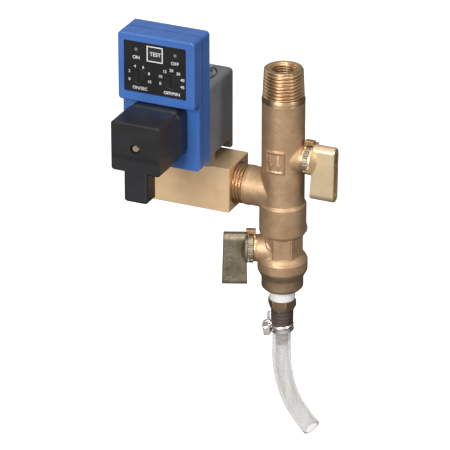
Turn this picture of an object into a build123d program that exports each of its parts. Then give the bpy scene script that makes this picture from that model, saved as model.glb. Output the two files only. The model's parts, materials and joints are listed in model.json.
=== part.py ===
from build123d import *
import os
from math import acos, asin, cos, degrees, pi, radians, sin

# Automatic condensate drain valve. A cast valve body hangs by its inlet thread and holds two
# ball valves: one shuts the inlet, the other opens the manual outlet with its hose. A side
# branch carries a solenoid valve, and a plug-in timer on the coil opens it at intervals.
#
# Millimetres. The origin is on the bore's axis, at the gauge plane of the inlet's taper thread.
# Z points up, along the bore. The branch leaves along -X, and the timer faces -Y. A size whose
# name ends in "drop" is measured down from the inlet end face.

os.makedirs("parts", exist_ok=True)

# ---------------------------------------------------------------- fits between the pieces
running_gap = 0.05  # radial clearance of a turning or sliding piece
thread_gap = 0.05  # radial clearance of plain cylinders that stand for a screwed pair
loose_gap = 0.15  # all-round clearance of a moulded piece in its pocket
end_gap = 0.1  # clearance along the axis, where one piece stops short of another

# ---------------------------------------------------------------- valve body, from the inlet down
inlet_thread_radius = 10.48  # R 1/2
inlet_thread_length = 13.0
inlet_gauge_length = 8.2  # from the end face to the gauge plane
inlet_chamfer = 0.9
inlet_neck_radius = 10.25
inlet_neck_length = 2.2
tube_radius = 11.3
tube_length = 59.6
shoulder_chamfer = 0.8
collar_radius = 12.35
collar_foot_height = 9.0  # collar's lower edge above the lower ball's centre
collar_slope_top = 3.0
collar_slope_bottom = 1.5
octagon_flats = 21.1
octagon_length = 11.5
octagon_turn = 22.5  # heading of one flat's normal
bevel_length = 2.2
ring_radius = 13.2
ring_length = 5.9
groove_width = 0.7
groove_depth = 0.5
taper_length = 4.2
foot_radius = 11.05
foot_length = 7.2
foot_chamfer = 1.6
cast_round = 1.5

# ---------------------------------------------------------------- ports and passages of the body
port_radius = 6.58  # G 1/4, to the bottom of the thread
inlet_port_depth = 14.0
outlet_port_depth = 10.6
port_chamfer = 0.7
throat_radius = 5.8
waist_radius = 3.6
chamber_radius = 5.1
chamber_top_gap = 7.2  # from the inlet valve's lower seat to the top of the strainer chamber

# ---------------------------------------------------------------- ball valves
upper_valve_drop = 48.9  # ball centre below the inlet end face
lower_valve_drop = 102.2
upper_heading = 0.0  # direction of the stem, seen from above
lower_heading = 202.5
upper_lean = -6.0  # the inlet handle stands a little off its open stop
lower_lean = 0.0
upper_boss_reach = 13.7  # boss end from the body's axis
lower_boss_reach = 15.2
boss_radius = 7.25
boss_root_radius = 8.6
boss_root_depth = 3.2  # where the boss's cone starts, inside the tube's surface
boss_land = 2.4
ball_radius = 5.5
ball_bore_radius = 3.0
seat_thickness = 3.0
seat_back = 1.3  # seat land behind the ball's contact circle
retainer_length = 5.0
retainer_slot_width = 1.4
retainer_slot_depth = 1.5
stem_radius = 2.6
tang_width = 2.4
tang_length = 5.4
tang_depth = 1.4
packing_radius = 4.6
packing_depth = 6.7
stem_shoulder_radius = 3.9
stem_shoulder_length = 1.1
packing_length = 2.7
gland_radius = 7.9
gland_flange = 2.6
gland_notches = 12
gland_notch_radius = 0.75
tab_width = 3.6
tab_top = 10.7  # height of the stop tab above the stem's axis
tab_root = 1.2  # where the tab joins the boss
tab_reach = 3.9
tab_clearance = 0.45

# ---------------------------------------------------------------- handles
hub_radius = 8.0
hub_gap = 0.3  # between the gland nut and the hub
hub_length = 1.2
hub_cone_length = 2.7
wing_thickness = 6.9
wing_up = 8.9
wing_down = 20.7
wing_depth = 11.6
wing_edge = 0.5
wing_flare = 0.9  # the wing's lower tip stands wider by this at each side
stop_width = 2.2
stop_height = 1.7
drive_side = 3.7
drive_length = 6.0
pocket_depth = 2.4
pocket_width = 3.6
pocket_margin = 3.2
head_pocket_radius = 2.65
handle_screw_radius = 1.25
handle_screw_length = 9.5
handle_head_radius = 2.35
handle_head_height = 1.5
handle_web = 1.4  # wall between the stem's end and the screw head
slot_width = 0.7
slot_depth = 0.7

# ---------------------------------------------------------------- branch to the solenoid valve
branch_drop = 69.3
branch_radius = 10.35
branch_neck = 17.0
branch_ring_radius = 10.62
branch_ring_length = 2.7
branch_thread_radius = 10.48  # R 1/2
branch_thread_end = 35.5
branch_bore_radius = 4.6

# ---------------------------------------------------------------- raised pad on the tube
pad_width = 10.4
pad_height = 12.0
pad_rise = 0.75
pad_border = 0.9
pad_sink = 0.35

# ---------------------------------------------------------------- strainer between the two ball valves
screen_radius = 4.9
screen_wall = 0.4
screen_slot_width = 1.1
screen_slot_height = 3.2
screen_slots = 8
screen_rows = 6
screen_row_pitch = 4.6

# ---------------------------------------------------------------- solenoid valve block
block_face = 25.15  # right-hand face from the body's axis
block_side = 25.0
block_length = 50.5
block_edge = 0.4
block_port_depth = 10.8
tube_socket_radius = 9.0
tube_socket_depth = 5.6
ring_step_radius = 7.0
nozzle_radius = 3.0
nozzle_height = 2.4
orifice_radius = 1.5
inlet_duct_radius = 1.6
duct_cover = 0.8  # metal between the inlet duct and the ring's step
outlet_duct_radius = 2.5

# ---------------------------------------------------------------- armature, core and coil
tube_outer_radius = 6.5
tube_inner_radius = 5.55
tube_hex = 20.0
tube_hex_height = 4.5
tube_thread_length = 2.1
core_length = 18.0
stud_radius = 4.0
stud_length = 6.6
plunger_stroke = 1.8
plunger_seal_radius = 3.6
plunger_seal_length = 2.5
plunger_seal_proud = 1.0
seal_gap = 0.05
spring_pocket_radius = 3.0
spring_pocket_depth = 8.0
spring_radius = 2.3
spring_wire = 0.35
spring_turns = 5
coil_width = 30.6
coil_depth = 31.0
coil_height = 44.7
coil_lift = 0.9  # coil's underside above the block
coil_round = 2.6
coil_corner = 1.2
coil_notch_height = 5.2
coil_notch_front = 10.8
coil_notch_back = 11.5
coil_bore_gap = 0.1
top_recess_radius = 12.1
top_recess_depth = 1.5
nut_flange_radius = 10.9
nut_hex = 17.0
nut_height = 5.0
winding_radius = 12.6
bobbin_radius = 13.1
bobbin_wall = 0.9
bobbin_flange = 1.2
cavity_bottom_wall = 1.8
cavity_top_wall = 2.75

# ---------------------------------------------------------------- plug-in electrics, seen from the front
terminal_base_width = 26.0
terminal_base_height = 25.2
plug_height_drop = 26.0  # centre of the plug and its screw, below the inlet end face
timer_back = 27.2
gasket_thickness = 1.0
gasket_side = 24.6
gasket_window = 22.2
blade_spacing = 18.0
earth_drop = 8.6
blade_width = 6.3
blade_thickness = 0.8
coil_blade_length = 8.4
blade_root = 4.0
socket_blade_length = 9.0
screw_radius = 1.5
screw_hole_gap = 0.15
screw_head_radius = 2.1
screw_head_height = 1.6

# ---------------------------------------------------------------- timer
timer_width = 42.85
timer_shift = -0.3  # timer's middle beside the coil's axis
timer_rise = 25.3  # top above the inlet end face
timer_step_drop = 11.9
timer_bottom_drop = 48.0
timer_base_depth = 9.0
timer_front_depth = 18.7
timer_plate_depth = 12.5
timer_corner = 2.0
timer_edge = 1.0
timer_wall = 1.8
panel_border = 4.05  # from the timer's sides to the panel
panel_height = 28.0
panel_drop = 4.1  # from the timer's top to the panel
panel_shift = -0.6  # panel's middle beside the timer's
panel_recess = 1.1
panel_thickness = 0.5
panel_corner = 1.0
button_width = 9.2
button_height = 8.8
button_drop = 9.75  # centre of the button below the timer's top
button_proud = 0.5
button_travel = 0.8
button_flange = 0.9
led_inset = 6.5  # from the panel's sides
led_drop = 8.9
led_radius = 1.1
knob_inset = 8.4
knob_drop = 23.35
knob_radius = 3.6
knob_proud = 0.35
knob_shaft_radius = 1.2
knob_collar = 1.4
knob_slot_width = 0.9
knob_slot_depth = 0.4
trimmer_side = 6.6
trimmer_height = 3.2
switch_side = 6.0
switch_height = 2.6
board_thickness = 1.6
board_margin = 0.4
board_corner = 1.5
clip_length = 5.6
clip_wall = 0.7

# ---------------------------------------------------------------- socket and plug
socket_width = 28.6
socket_height = 27.6
socket_depth = 10.6
socket_corner = 4.5
socket_edge = 1.2
plug_width = 27.3
plug_height = 27.0
plug_depth = 20.7
plug_edge = 0.8
plug_wall = 2.0
insert_side = 21.6
insert_depth = 10.5
head_recess_radius = 2.6
head_recess_depth = 2.4
line_width = 0.5
line_depth = 0.4
line_drop = 4.7
line_pitch = 1.2
gland_width = 13.2
gland_depth = 10.8
gland_drop = 16.4
gland_corner = 1.6
gland_bevel = 1.0
cable_radius = 3.5

# ---------------------------------------------------------------- hose tail, clamp and hose
tail_thread_length = 9.6
tape_radius = 6.95
tape_length = 6.1
tail_hex = 13.2
tail_hex_length = 5.4
tail_bore_radius = 2.4
barb_radius = 3.45
barb_crest = 3.8
barb_pitch = 4.2
barb_count = 5
hose_radius = 5.0
hose_bore_radius = 3.5
clamp_drop = 12.9  # middle of the clamp below the hose's upper end
clamp_wall = 0.5
clamp_width = 4.6
clamp_tilt = 4.0
clamp_heading = 170.0
clamp_housing_length = 7.0
clamp_housing_height = 5.4
clamp_housing_depth = 4.2
clamp_screw_radius = 1.5
clamp_head_radius = 2.7
clamp_head_length = 2.6
clamp_slot = 0.7
hose_heading = 24.3
# The hose's route: distance out along its heading, and drop below its upper end
hose_route = [(0, 0), (0, 15), (-0.35, 30.5), (1.9, 45.5), (7.3, 59.5), (16.0, 71.6)]

# ---------------------------------------------------------------- places worked out from the sizes
inlet_end = inlet_gauge_length
lower_valve_z = inlet_end - lower_valve_drop
thread_foot = inlet_end - inlet_thread_length
tube_top = thread_foot - inlet_neck_length
collar_top = tube_top - tube_length
collar_bottom = lower_valve_z + collar_foot_height
octagon_bottom = collar_bottom - octagon_length
bevel_bottom = octagon_bottom - bevel_length
ring_top = bevel_bottom - groove_width
ring_bottom = ring_top - ring_length
taper_bottom = ring_bottom - taper_length
body_bottom = taper_bottom - foot_length

seat_reach = (ball_radius**2 - ball_bore_radius**2) ** 0.5 + seat_back
upper_valve_z = inlet_end - upper_valve_drop
branch_z = inlet_end - branch_drop
block_x = -block_face - block_length / 2
block_top = branch_z + block_side / 2
coil_bottom = block_top + coil_lift
coil_top = coil_bottom + coil_height
o_ring_section = (tube_socket_radius - ring_step_radius) / 2 - end_gap
ring_step_depth = tube_thread_length + 2 * o_ring_section
winding_room = coil_height - coil_notch_height - top_recess_depth
winding_height = winding_room - cavity_bottom_wall - cavity_top_wall - 2 * bobbin_flange
socket_floor = block_top - tube_socket_depth
nozzle_top = socket_floor + nozzle_height
tube_base = block_top - tube_thread_length
tube_end = coil_top - top_recess_depth - 2 * end_gap
core_bottom = tube_end - core_length
plunger_bottom = nozzle_top + seal_gap + plunger_seal_proud
plunger_top = core_bottom - plunger_stroke
plug_z = inlet_end - plug_height_drop

timer_front_y = -timer_back - timer_front_depth
timer_plate_y = -timer_back - timer_plate_depth
timer_parting_y = -timer_back - timer_base_depth
timer_top = inlet_end + timer_rise
timer_step = inlet_end - timer_step_drop
timer_bottom = inlet_end - timer_bottom_drop
socket_y = timer_plate_y - socket_depth
plug_back_y = socket_y - gasket_thickness
plug_front_y = plug_back_y - plug_depth
timer_x = block_x + timer_shift
panel_x = timer_x + panel_shift
panel_width = timer_width - 2 * panel_border
led_spacing = panel_width - 2 * led_inset
knob_spacing = panel_width - 2 * knob_inset
panel_z = timer_top - panel_drop - panel_height / 2
panel_floor_y = timer_front_y + panel_recess
panel_face_y = panel_floor_y - panel_thickness
board_back_y = timer_parting_y
board_front_y = board_back_y - board_thickness
button_z = timer_top - button_drop
led_z = timer_top - led_drop
knob_z = timer_top - knob_drop
blade_points = [(-blade_spacing / 2, 0), (blade_spacing / 2, 0), (0, -earth_drop)]

hose_top = body_bottom - tape_length - tail_hex_length


def stem_plane(height, heading, lean=0.0):
    """Plane at a ball's centre: z runs out along the stem, x up the handle."""
    outward = Vector(cos(radians(heading)), sin(radians(heading)), 0)
    across = outward.cross(Vector(0, 0, 1))
    up = Vector(0, 0, 1) * cos(radians(lean)) + across * sin(radians(lean))
    return Plane(origin=(0, 0, height), x_dir=up, z_dir=outward)


def front_plane(y, x=0.0, z=0.0):
    """Plane that faces the timer's front, with x to the right and y up."""
    return Plane(origin=(x, y, z), x_dir=(1, 0, 0), z_dir=(0, -1, 0))


upper_fixed = stem_plane(upper_valve_z, upper_heading)
lower_fixed = stem_plane(lower_valve_z, lower_heading)
upper_turned = stem_plane(upper_valve_z, upper_heading, upper_lean)
lower_turned = stem_plane(lower_valve_z, lower_heading, lower_lean)
branch_plane = Plane(origin=(0, 0, branch_z), x_dir=(0, 0, 1), z_dir=(-1, 0, 0))
coil_axis = Plane(origin=(block_x, 0, 0), x_dir=(1, 0, 0), z_dir=(0, 0, 1))


def save(name, piece):
    """Label a finished piece and write it under its own name."""
    piece.label = name
    export_step(piece, f"parts/{name}.step")
    print(f"{name:24s} {piece.volume:10.1f} mm3")


def lathe_face(plane, outline, rounds=0.0):
    """Half section for a turned form: outline holds (radius, distance along the plane's normal)."""
    section = Plane(origin=plane.origin, x_dir=plane.x_dir, z_dir=-plane.y_dir)
    with BuildSketch(section) as half:
        with BuildLine():
            FilletPolyline(*outline, radius=rounds, close=True)
        make_face()
    return half.sketch


def turn(plane, outline, rounds=0.0, mode=Mode.ADD):
    """Revolve an outline about the plane's normal, into the part that is being built."""
    revolve(lathe_face(plane, outline, rounds), axis=Axis(plane.origin, plane.z_dir), mode=mode)


def bore(plane, start, end, radius, mode=Mode.SUBTRACT):
    """Round hole, or pin, between two distances along the plane's normal."""
    turn(plane, [(0, start), (radius, start), (radius, end), (0, end)], mode=mode)


def washer(plane, start, end, inner, outer):
    """Plain ring between two distances along the plane's normal."""
    turn(plane, [(inner, start), (outer, start), (outer, end), (inner, end)])


# ================================================================ valve body


def body_outline():
    """Outside of the casting from the inlet end down, with the rounding of each corner."""
    core = octagon_flats / 2 - 0.3
    corner = octagon_flats / 2 / cos(pi / 8)
    return [
        ((0, inlet_end), 0),
        ((inlet_thread_radius - inlet_chamfer, inlet_end), 0),
        ((inlet_thread_radius, inlet_end - inlet_chamfer), 0),
        ((inlet_thread_radius, thread_foot), 0),
        ((inlet_neck_radius, thread_foot), 0),
        ((inlet_neck_radius, tube_top), 0),
        ((tube_radius - shoulder_chamfer, tube_top), 0),
        ((tube_radius, tube_top - shoulder_chamfer), 0),
        ((tube_radius, collar_top + collar_slope_top / 2), 2 * cast_round),
        ((collar_radius, collar_top - collar_slope_top / 2), 2 * cast_round),
        ((collar_radius, collar_bottom + collar_slope_bottom), 0),
        ((corner, collar_bottom), 0),
        ((core, collar_bottom), 0),
        ((core, octagon_bottom), 0),
        ((corner, octagon_bottom), 0),
        ((ring_radius - 0.3, bevel_bottom), 0),
        ((ring_radius - groove_depth, ring_top + groove_width / 2), 0),
        ((ring_radius, ring_top), 0),
        ((ring_radius, ring_bottom), cast_round),
        ((foot_radius, taper_bottom), cast_round),
        ((foot_radius, body_bottom + foot_chamfer), 0),
        ((foot_radius - foot_chamfer, body_bottom), 0),
        ((0, body_bottom), 0),
    ]


def boss_outline(reach):
    """Outside of a stem boss: a cast cone, then a turned land."""
    return [
        (0, waist_radius),
        (boss_root_radius, waist_radius),
        (boss_root_radius, tube_radius - boss_root_depth),
        (boss_radius, reach - boss_land),
        (boss_radius, reach - 0.4),
        (boss_radius - 0.4, reach),
        (0, reach),
    ]


def tab_face(plane, distance, foot):
    """Cross-section of a boss's stop tab, at a distance along the stem."""
    with BuildSketch(plane.offset(distance)) as section:
        with Locations(((foot + tab_top) / 2, 0)):
            Rectangle(tab_top - foot, tab_width)
    return section.sketch


def passage_outline():
    """The through bore, with a tapped port and a ball pocket at each end."""
    upper_seat = upper_valve_z - seat_reach
    lower_seat = lower_valve_z + seat_reach
    chamber_top = upper_seat - chamber_top_gap
    return [
        (0, inlet_end + 1),
        (port_radius + port_chamfer, inlet_end + 1),
        (port_radius + port_chamfer, inlet_end),
        (port_radius, inlet_end - port_chamfer),
        (port_radius, inlet_end - inlet_port_depth),
        (throat_radius, inlet_end - inlet_port_depth),
        (throat_radius, upper_seat),
        (waist_radius, upper_seat),
        (waist_radius, chamber_top),
        (chamber_radius, chamber_top),
        (chamber_radius, lower_seat),
        (throat_radius, lower_seat),
        (throat_radius, body_bottom + outlet_port_depth),
        (port_radius, body_bottom + outlet_port_depth),
        (port_radius, body_bottom + port_chamfer),
        (port_radius + port_chamfer, body_bottom),
        (port_radius + port_chamfer, body_bottom - 1),
        (0, body_bottom - 1),
    ]


def make_pad():
    """Raised, framed pad on the front of the tube, following its curve."""
    middle = (0, -tube_radius, upper_valve_z)
    with BuildPart() as pad:
        with Locations((0, 0, upper_valve_z)):
            Cylinder(tube_radius + pad_rise, pad_height)
        with Locations(middle):
            Box(pad_width, tube_radius, pad_height, mode=Mode.INTERSECT)
        with BuildSketch(front_plane(-tube_radius - pad_rise - 1, 0, upper_valve_z)):
            RectangleRounded(pad_width - 2 * pad_border, pad_height - 2 * pad_border, pad_border)
        extrude(amount=-3, mode=Mode.SUBTRACT)
        with Locations((0, 0, upper_valve_z)):
            Cylinder(tube_radius + pad_rise - pad_sink, pad_height - 2 * pad_border)
        with Locations(middle):
            Box(pad_width, tube_radius, pad_height, mode=Mode.INTERSECT)
    return pad.part


def make_valve_body():
    corners = body_outline()
    stems = ((upper_fixed, upper_boss_reach), (lower_fixed, lower_boss_reach))
    pad = make_pad()
    with BuildPart() as body:
        turn(Plane.XY, [point for point, _ in corners], [size for _, size in corners])
        with BuildSketch(Plane.XY.offset(octagon_bottom)):
            RegularPolygon(octagon_flats / 2, 8, major_radius=False, rotation=octagon_turn)
        extrude(amount=octagon_length)
        turn(
            branch_plane,
            [
                (0, 0),
                (branch_radius, 0),
                (branch_radius, branch_neck),
                (branch_ring_radius, branch_neck),
                (branch_ring_radius, branch_neck + branch_ring_length),
                (branch_thread_radius, branch_neck + branch_ring_length),
                (branch_thread_radius, branch_thread_end - inlet_chamfer),
                (branch_thread_radius - inlet_chamfer, branch_thread_end),
                (0, branch_thread_end),
            ],
        )
        turn(upper_fixed, boss_outline(upper_boss_reach))
        turn(lower_fixed, boss_outline(lower_boss_reach))
        for plane, reach in stems:
            extrude(tab_face(plane, reach - tab_root, boss_radius - 1), amount=tab_root)
            extrude(tab_face(plane, reach, hub_radius + tab_clearance), amount=tab_reach)
        add(pad)
        turn(Plane.XY, passage_outline(), mode=Mode.SUBTRACT)
        bore(branch_plane, 0, branch_thread_end + 1, branch_bore_radius)
        for plane, reach in stems:
            bore(plane, 0, reach, stem_radius + running_gap)
            bore(plane, reach - packing_depth, reach + 1, packing_radius)
    return body.part


# ================================================================ ball valves


def make_ball(plane):
    with BuildPart(plane) as ball:
        Sphere(ball_radius)
        Cylinder(ball_bore_radius, 2 * ball_radius, rotation=(0, 90, 0), mode=Mode.SUBTRACT)
        with Locations((0, 0, ball_radius)):
            Box(tang_width + 2 * running_gap, 2 * ball_radius, 2 * (tang_depth + running_gap),
                mode=Mode.SUBTRACT)
    return ball.part


def make_seat(plane, side):
    """Seat ring with a spherical pocket: side is +1 above the ball and -1 below it."""
    pocket = ball_radius + running_gap
    start = seat_reach - seat_thickness
    outer = throat_radius - thread_gap
    inner_angle = asin(ball_bore_radius / pocket)
    outer_angle = acos(start / pocket)
    middle = (inner_angle + outer_angle) / 2
    edge = (pocket * sin(outer_angle), start)
    lip = (ball_bore_radius, pocket * cos(inner_angle))
    section = Plane(origin=plane.origin, x_dir=plane.z_dir, z_dir=-side * plane.y_dir)
    with BuildPart() as seat:
        with BuildSketch(section):
            with BuildLine():
                Polyline(edge, (outer, start), (outer, seat_reach),
                         (ball_bore_radius, seat_reach), lip)
                ThreePointArc(lip, (pocket * sin(middle), pocket * cos(middle)), edge)
            make_face()
        revolve(axis=Axis(plane.origin, (0, 0, 1)))
    return seat.part


def make_retainer(plane, side):
    """Slotted ring nut that holds the seats and the ball against their shoulder."""
    flow = Plane(origin=plane.origin, x_dir=plane.z_dir, z_dir=(0, 0, side))
    outer_end = seat_reach + retainer_length
    with BuildPart() as ring:
        washer(flow, seat_reach, outer_end, ball_bore_radius, throat_radius - thread_gap)
        with BuildSketch(flow.offset(outer_end)):
            Rectangle(2 * throat_radius, retainer_slot_width)
        extrude(amount=-retainer_slot_depth, mode=Mode.SUBTRACT)
    return ring.part


def make_stem(plane, reach):
    floor = reach - packing_depth + end_gap / 2
    tang_foot = ball_radius - tang_depth
    drive_start = reach + gland_flange + hub_gap
    with BuildPart() as stem:
        turn(
            plane,
            [
                (0, ball_radius),
                (stem_radius, ball_radius),
                (stem_radius, floor),
                (stem_shoulder_radius, floor),
                (stem_shoulder_radius, floor + stem_shoulder_length),
                (stem_radius, floor + stem_shoulder_length),
                (stem_radius, drive_start),
                (0, drive_start),
            ],
        )
        with BuildSketch(plane.offset(tang_foot)):
            Rectangle(tang_width, tang_length)
            Circle(stem_radius, mode=Mode.INTERSECT)
        extrude(amount=tang_depth)
        with BuildSketch(plane.offset(drive_start)):
            Rectangle(drive_side, drive_side)
        extrude(amount=drive_length)
        bore(plane, drive_start + drive_length - handle_screw_length + handle_web + 0.5,
             drive_start + drive_length, handle_screw_radius + thread_gap)
    return stem.part


def make_stem_seal(plane, reach):
    start = reach - packing_depth + stem_shoulder_length + end_gap
    with BuildPart() as seal:
        washer(plane, start, start + packing_length, stem_radius + running_gap,
               packing_radius - running_gap)
    return seal.part


def make_gland_nut(plane, reach):
    """Notched nut that presses the packing down."""
    start = reach - packing_depth + stem_shoulder_length + packing_length + 2 * end_gap
    with BuildPart() as nut:
        turn(
            plane,
            [
                (stem_radius + running_gap, start),
                (packing_radius - thread_gap, start),
                (packing_radius - thread_gap, reach),
                (gland_radius, reach),
                (gland_radius, reach + gland_flange),
                (stem_radius + running_gap, reach + gland_flange),
            ],
        )
        with BuildSketch(plane.offset(reach)):
            with PolarLocations(gland_radius, gland_notches):
                Circle(gland_notch_radius)
        extrude(amount=gland_flange, mode=Mode.SUBTRACT)
    return nut.part


def wing_offcut(plane, edge, side):
    """Face cut off one long edge of the wing, aslant, so that it widens towards its lower tip."""
    far = wing_down + 1
    top = wing_up + 1
    outside = edge + side * hub_radius
    with BuildSketch(Plane(origin=plane.origin, x_dir=plane.x_dir, z_dir=-plane.y_dir)) as face:
        with BuildLine():
            Polyline((-far, edge + side * wing_flare), (top, edge), (top, outside), (-far, outside),
                     close=True)
        make_face()
    return face.sketch


def make_handle(plane, reach):
    """Cast wing handle: a round hub that runs by a cone into a flat, hollow-ended wing."""
    hub_start = reach + gland_flange + hub_gap
    wing_start = hub_start + hub_length
    wing_end = wing_start + wing_depth
    drive_end = hub_start + drive_length + 2 * end_gap
    head_seat = drive_end + handle_web
    half = wing_thickness / 2
    swing = degrees(
        asin((tab_width / 2 + stop_width / 2 + 2 * end_gap) / (hub_radius + tab_clearance))
    )
    with BuildPart() as handle:
        with BuildSketch(plane.offset(wing_start - wing_flare)):
            with Locations(((wing_up - wing_down) / 2, 0)):
                SlotOverall(wing_up + wing_down, wing_thickness)
        extrude(amount=wing_depth + 2 * wing_flare)
        for edge, side in ((wing_start, -1), (wing_end, 1)):
            extrude(wing_offcut(plane, edge, side), amount=wing_thickness, both=True,
                    mode=Mode.SUBTRACT)
        chamfer(handle.faces().sort_by(Axis(plane.origin, plane.z_dir))[-1].edges(), wing_edge)
        turn(
            plane,
            [
                (0, hub_start),
                (hub_radius, hub_start),
                (hub_radius, wing_start),
                (half - 0.3, wing_start + hub_cone_length),
                (0, wing_start + hub_cone_length),
            ],
        )
        with BuildSketch(plane.offset(hub_start)):
            with PolarLocations(hub_radius + stop_height / 2 - 0.5, 1, start_angle=-swing):
                Rectangle(stop_height + 1, stop_width)
            with PolarLocations(hub_radius + stop_height / 2 - 0.5, 1, start_angle=90 + swing):
                Rectangle(stop_height + 1, stop_width)
        extrude(amount=hub_length)
        with BuildSketch(plane.offset(wing_end + wing_flare)):
            with Locations(((wing_up - wing_down) / 2, 0)):
                SlotOverall(wing_up + wing_down - 2 * pocket_margin, pocket_width)
        extrude(amount=-pocket_depth - wing_flare, mode=Mode.SUBTRACT)
        bore(plane, head_seat, wing_end + wing_flare, head_pocket_radius)
        bore(plane, drive_end, head_seat, handle_screw_radius + thread_gap)
        with BuildSketch(plane.offset(hub_start)):
            Rectangle(drive_side + 2 * running_gap, drive_side + 2 * running_gap)
        extrude(amount=drive_end - hub_start, mode=Mode.SUBTRACT)
    return handle.part


def make_handle_screw(plane, reach):
    head_seat = reach + gland_flange + hub_gap + drive_length + 2 * end_gap + handle_web
    with BuildPart() as screw:
        turn(
            plane,
            [
                (0, head_seat - handle_screw_length + 1),
                (handle_screw_radius, head_seat - handle_screw_length + 1),
                (handle_screw_radius, head_seat),
                (handle_head_radius, head_seat),
                (handle_head_radius, head_seat + handle_head_height - 0.5),
                (handle_head_radius - 0.6, head_seat + handle_head_height),
                (0, head_seat + handle_head_height),
            ],
        )
        with BuildSketch(plane.offset(head_seat + handle_head_height)):
            Rectangle(2 * handle_head_radius, slot_width)
            Rectangle(slot_width, 2 * handle_head_radius)
        extrude(amount=-slot_depth, mode=Mode.SUBTRACT)
    return screw.part


def make_ball_valve(name, fixed, turned, reach, retainer_side):
    save(f"{name}_ball", make_ball(turned))
    save(f"{name}_seat_top", make_seat(fixed, 1))
    save(f"{name}_seat_bottom", make_seat(fixed, -1))
    save(f"{name}_seat_retainer", make_retainer(fixed, retainer_side))
    save(f"{name}_stem", make_stem(turned, reach))
    save(f"{name}_stem_seal", make_stem_seal(fixed, reach))
    save(f"{name}_gland_nut", make_gland_nut(fixed, reach))
    save(f"{name}_handle", make_handle(turned, reach))
    save(f"{name}_handle_screw", make_handle_screw(turned, reach))


def make_strainer():
    """Slotted tube that stands on the manual valve's seat, across the branch."""
    foot = lower_valve_z + seat_reach
    head = upper_valve_z - seat_reach - chamber_top_gap - 2 * end_gap
    middle = (foot + head) / 2
    first = middle - screen_row_pitch * (screen_rows - 1) / 2
    with BuildPart() as screen:
        washer(Plane.XY, foot, head, screen_radius - screen_wall, screen_radius)
        for row in range(screen_rows):
            with Locations((0, 0, first + row * screen_row_pitch)):
                with PolarLocations(screen_radius - screen_wall / 2, screen_slots):
                    Box(4 * screen_wall, screen_slot_width, screen_slot_height, mode=Mode.SUBTRACT)
    return screen.part


# ================================================================ solenoid valve


def make_solenoid_block():
    """Square bar with the branch port, the valve seat under the coil and the outlet port."""
    outlet_plane = Plane(origin=(0, 0, branch_z), x_dir=(0, 0, 1), z_dir=(-1, 0, 0))
    far_end = block_face + block_length
    duct_z = block_top - ring_step_depth - duct_cover - inlet_duct_radius
    duct_plane = Plane(origin=(0, 0, duct_z), x_dir=(0, 0, 1), z_dir=(-1, 0, 0))
    port = branch_thread_radius + thread_gap
    with BuildPart() as block:
        with Locations((block_x, 0, branch_z)):
            Box(block_length, block_side, block_side)
        chamfer(block.edges(), block_edge)
        turn(
            branch_plane,
            [
                (0, block_face - 1),
                (port + 0.8, block_face - 1),
                (port + 0.8, block_face),
                (port, block_face + 0.8),
                (port, block_face + block_port_depth),
                (0, block_face + block_port_depth),
            ],
            mode=Mode.SUBTRACT,
        )
        bore(coil_axis, block_top - ring_step_depth, block_top + 1, tube_socket_radius)
        turn(
            coil_axis,
            [
                (nozzle_radius, block_top + 1),
                (ring_step_radius, block_top + 1),
                (ring_step_radius, socket_floor),
                (nozzle_radius, socket_floor),
            ],
            mode=Mode.SUBTRACT,
        )
        bore(coil_axis, nozzle_top, block_top, nozzle_radius + running_gap)
        bore(coil_axis, branch_z, nozzle_top, orifice_radius)
        bore(duct_plane, block_face + block_port_depth / 2, -block_x - nozzle_radius - 1,
             inlet_duct_radius)
        bore(outlet_plane, -block_x - outlet_duct_radius, far_end, outlet_duct_radius)
        turn(
            outlet_plane,
            [
                (0, far_end - block_port_depth),
                (port_radius, far_end - block_port_depth),
                (port_radius, far_end - port_chamfer),
                (port_radius + port_chamfer, far_end),
                (port_radius + port_chamfer, far_end + 1),
                (0, far_end + 1),
            ],
            mode=Mode.SUBTRACT,
        )
    return block.part


def make_armature_tube():
    with BuildPart() as tube:
        bore(coil_axis, tube_base, block_top, tube_socket_radius - thread_gap, mode=Mode.ADD)
        with BuildSketch(coil_axis.offset(block_top)):
            RegularPolygon(tube_hex / 2, 6, major_radius=False)
        extrude(amount=tube_hex_height)
        bore(coil_axis, block_top + tube_hex_height, tube_end, tube_outer_radius, mode=Mode.ADD)
        bore(coil_axis, tube_base, tube_end, tube_inner_radius)
    return tube.part


def make_o_ring():
    centre = (tube_socket_radius + ring_step_radius) / 2
    middle = block_top - ring_step_depth + o_ring_section
    section = [
        (centre + o_ring_section * cos(radians(angle)), middle + o_ring_section * sin(radians(angle)))
        for angle in range(0, 360, 45)
    ]
    with BuildPart() as ring:
        turn(coil_axis, section)
    return ring.part


def make_fixed_core():
    radius = tube_inner_radius - running_gap
    with BuildPart() as core:
        bore(coil_axis, core_bottom, tube_end, radius, mode=Mode.ADD)
        bore(coil_axis, tube_end, tube_end + stud_length, stud_radius, mode=Mode.ADD)
        chamfer(core.faces().sort_by(Axis.Z)[-1].edges(), 0.6)
    return core.part


def make_plunger():
    radius = tube_inner_radius - running_gap
    with BuildPart() as plunger:
        bore(coil_axis, plunger_bottom, plunger_top, radius, mode=Mode.ADD)
        chamfer(plunger.edges().filter_by(GeomType.CIRCLE), 0.4)
        bore(coil_axis, plunger_top - spring_pocket_depth, plunger_top, spring_pocket_radius)
        bore(coil_axis, plunger_bottom, plunger_bottom + plunger_seal_length - plunger_seal_proud,
             plunger_seal_radius)
    return plunger.part


def make_plunger_seal():
    with BuildPart() as seal:
        bore(coil_axis, plunger_bottom - plunger_seal_proud,
             plunger_bottom + plunger_seal_length - plunger_seal_proud,
             plunger_seal_radius - running_gap, mode=Mode.ADD)
    return seal.part


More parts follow.
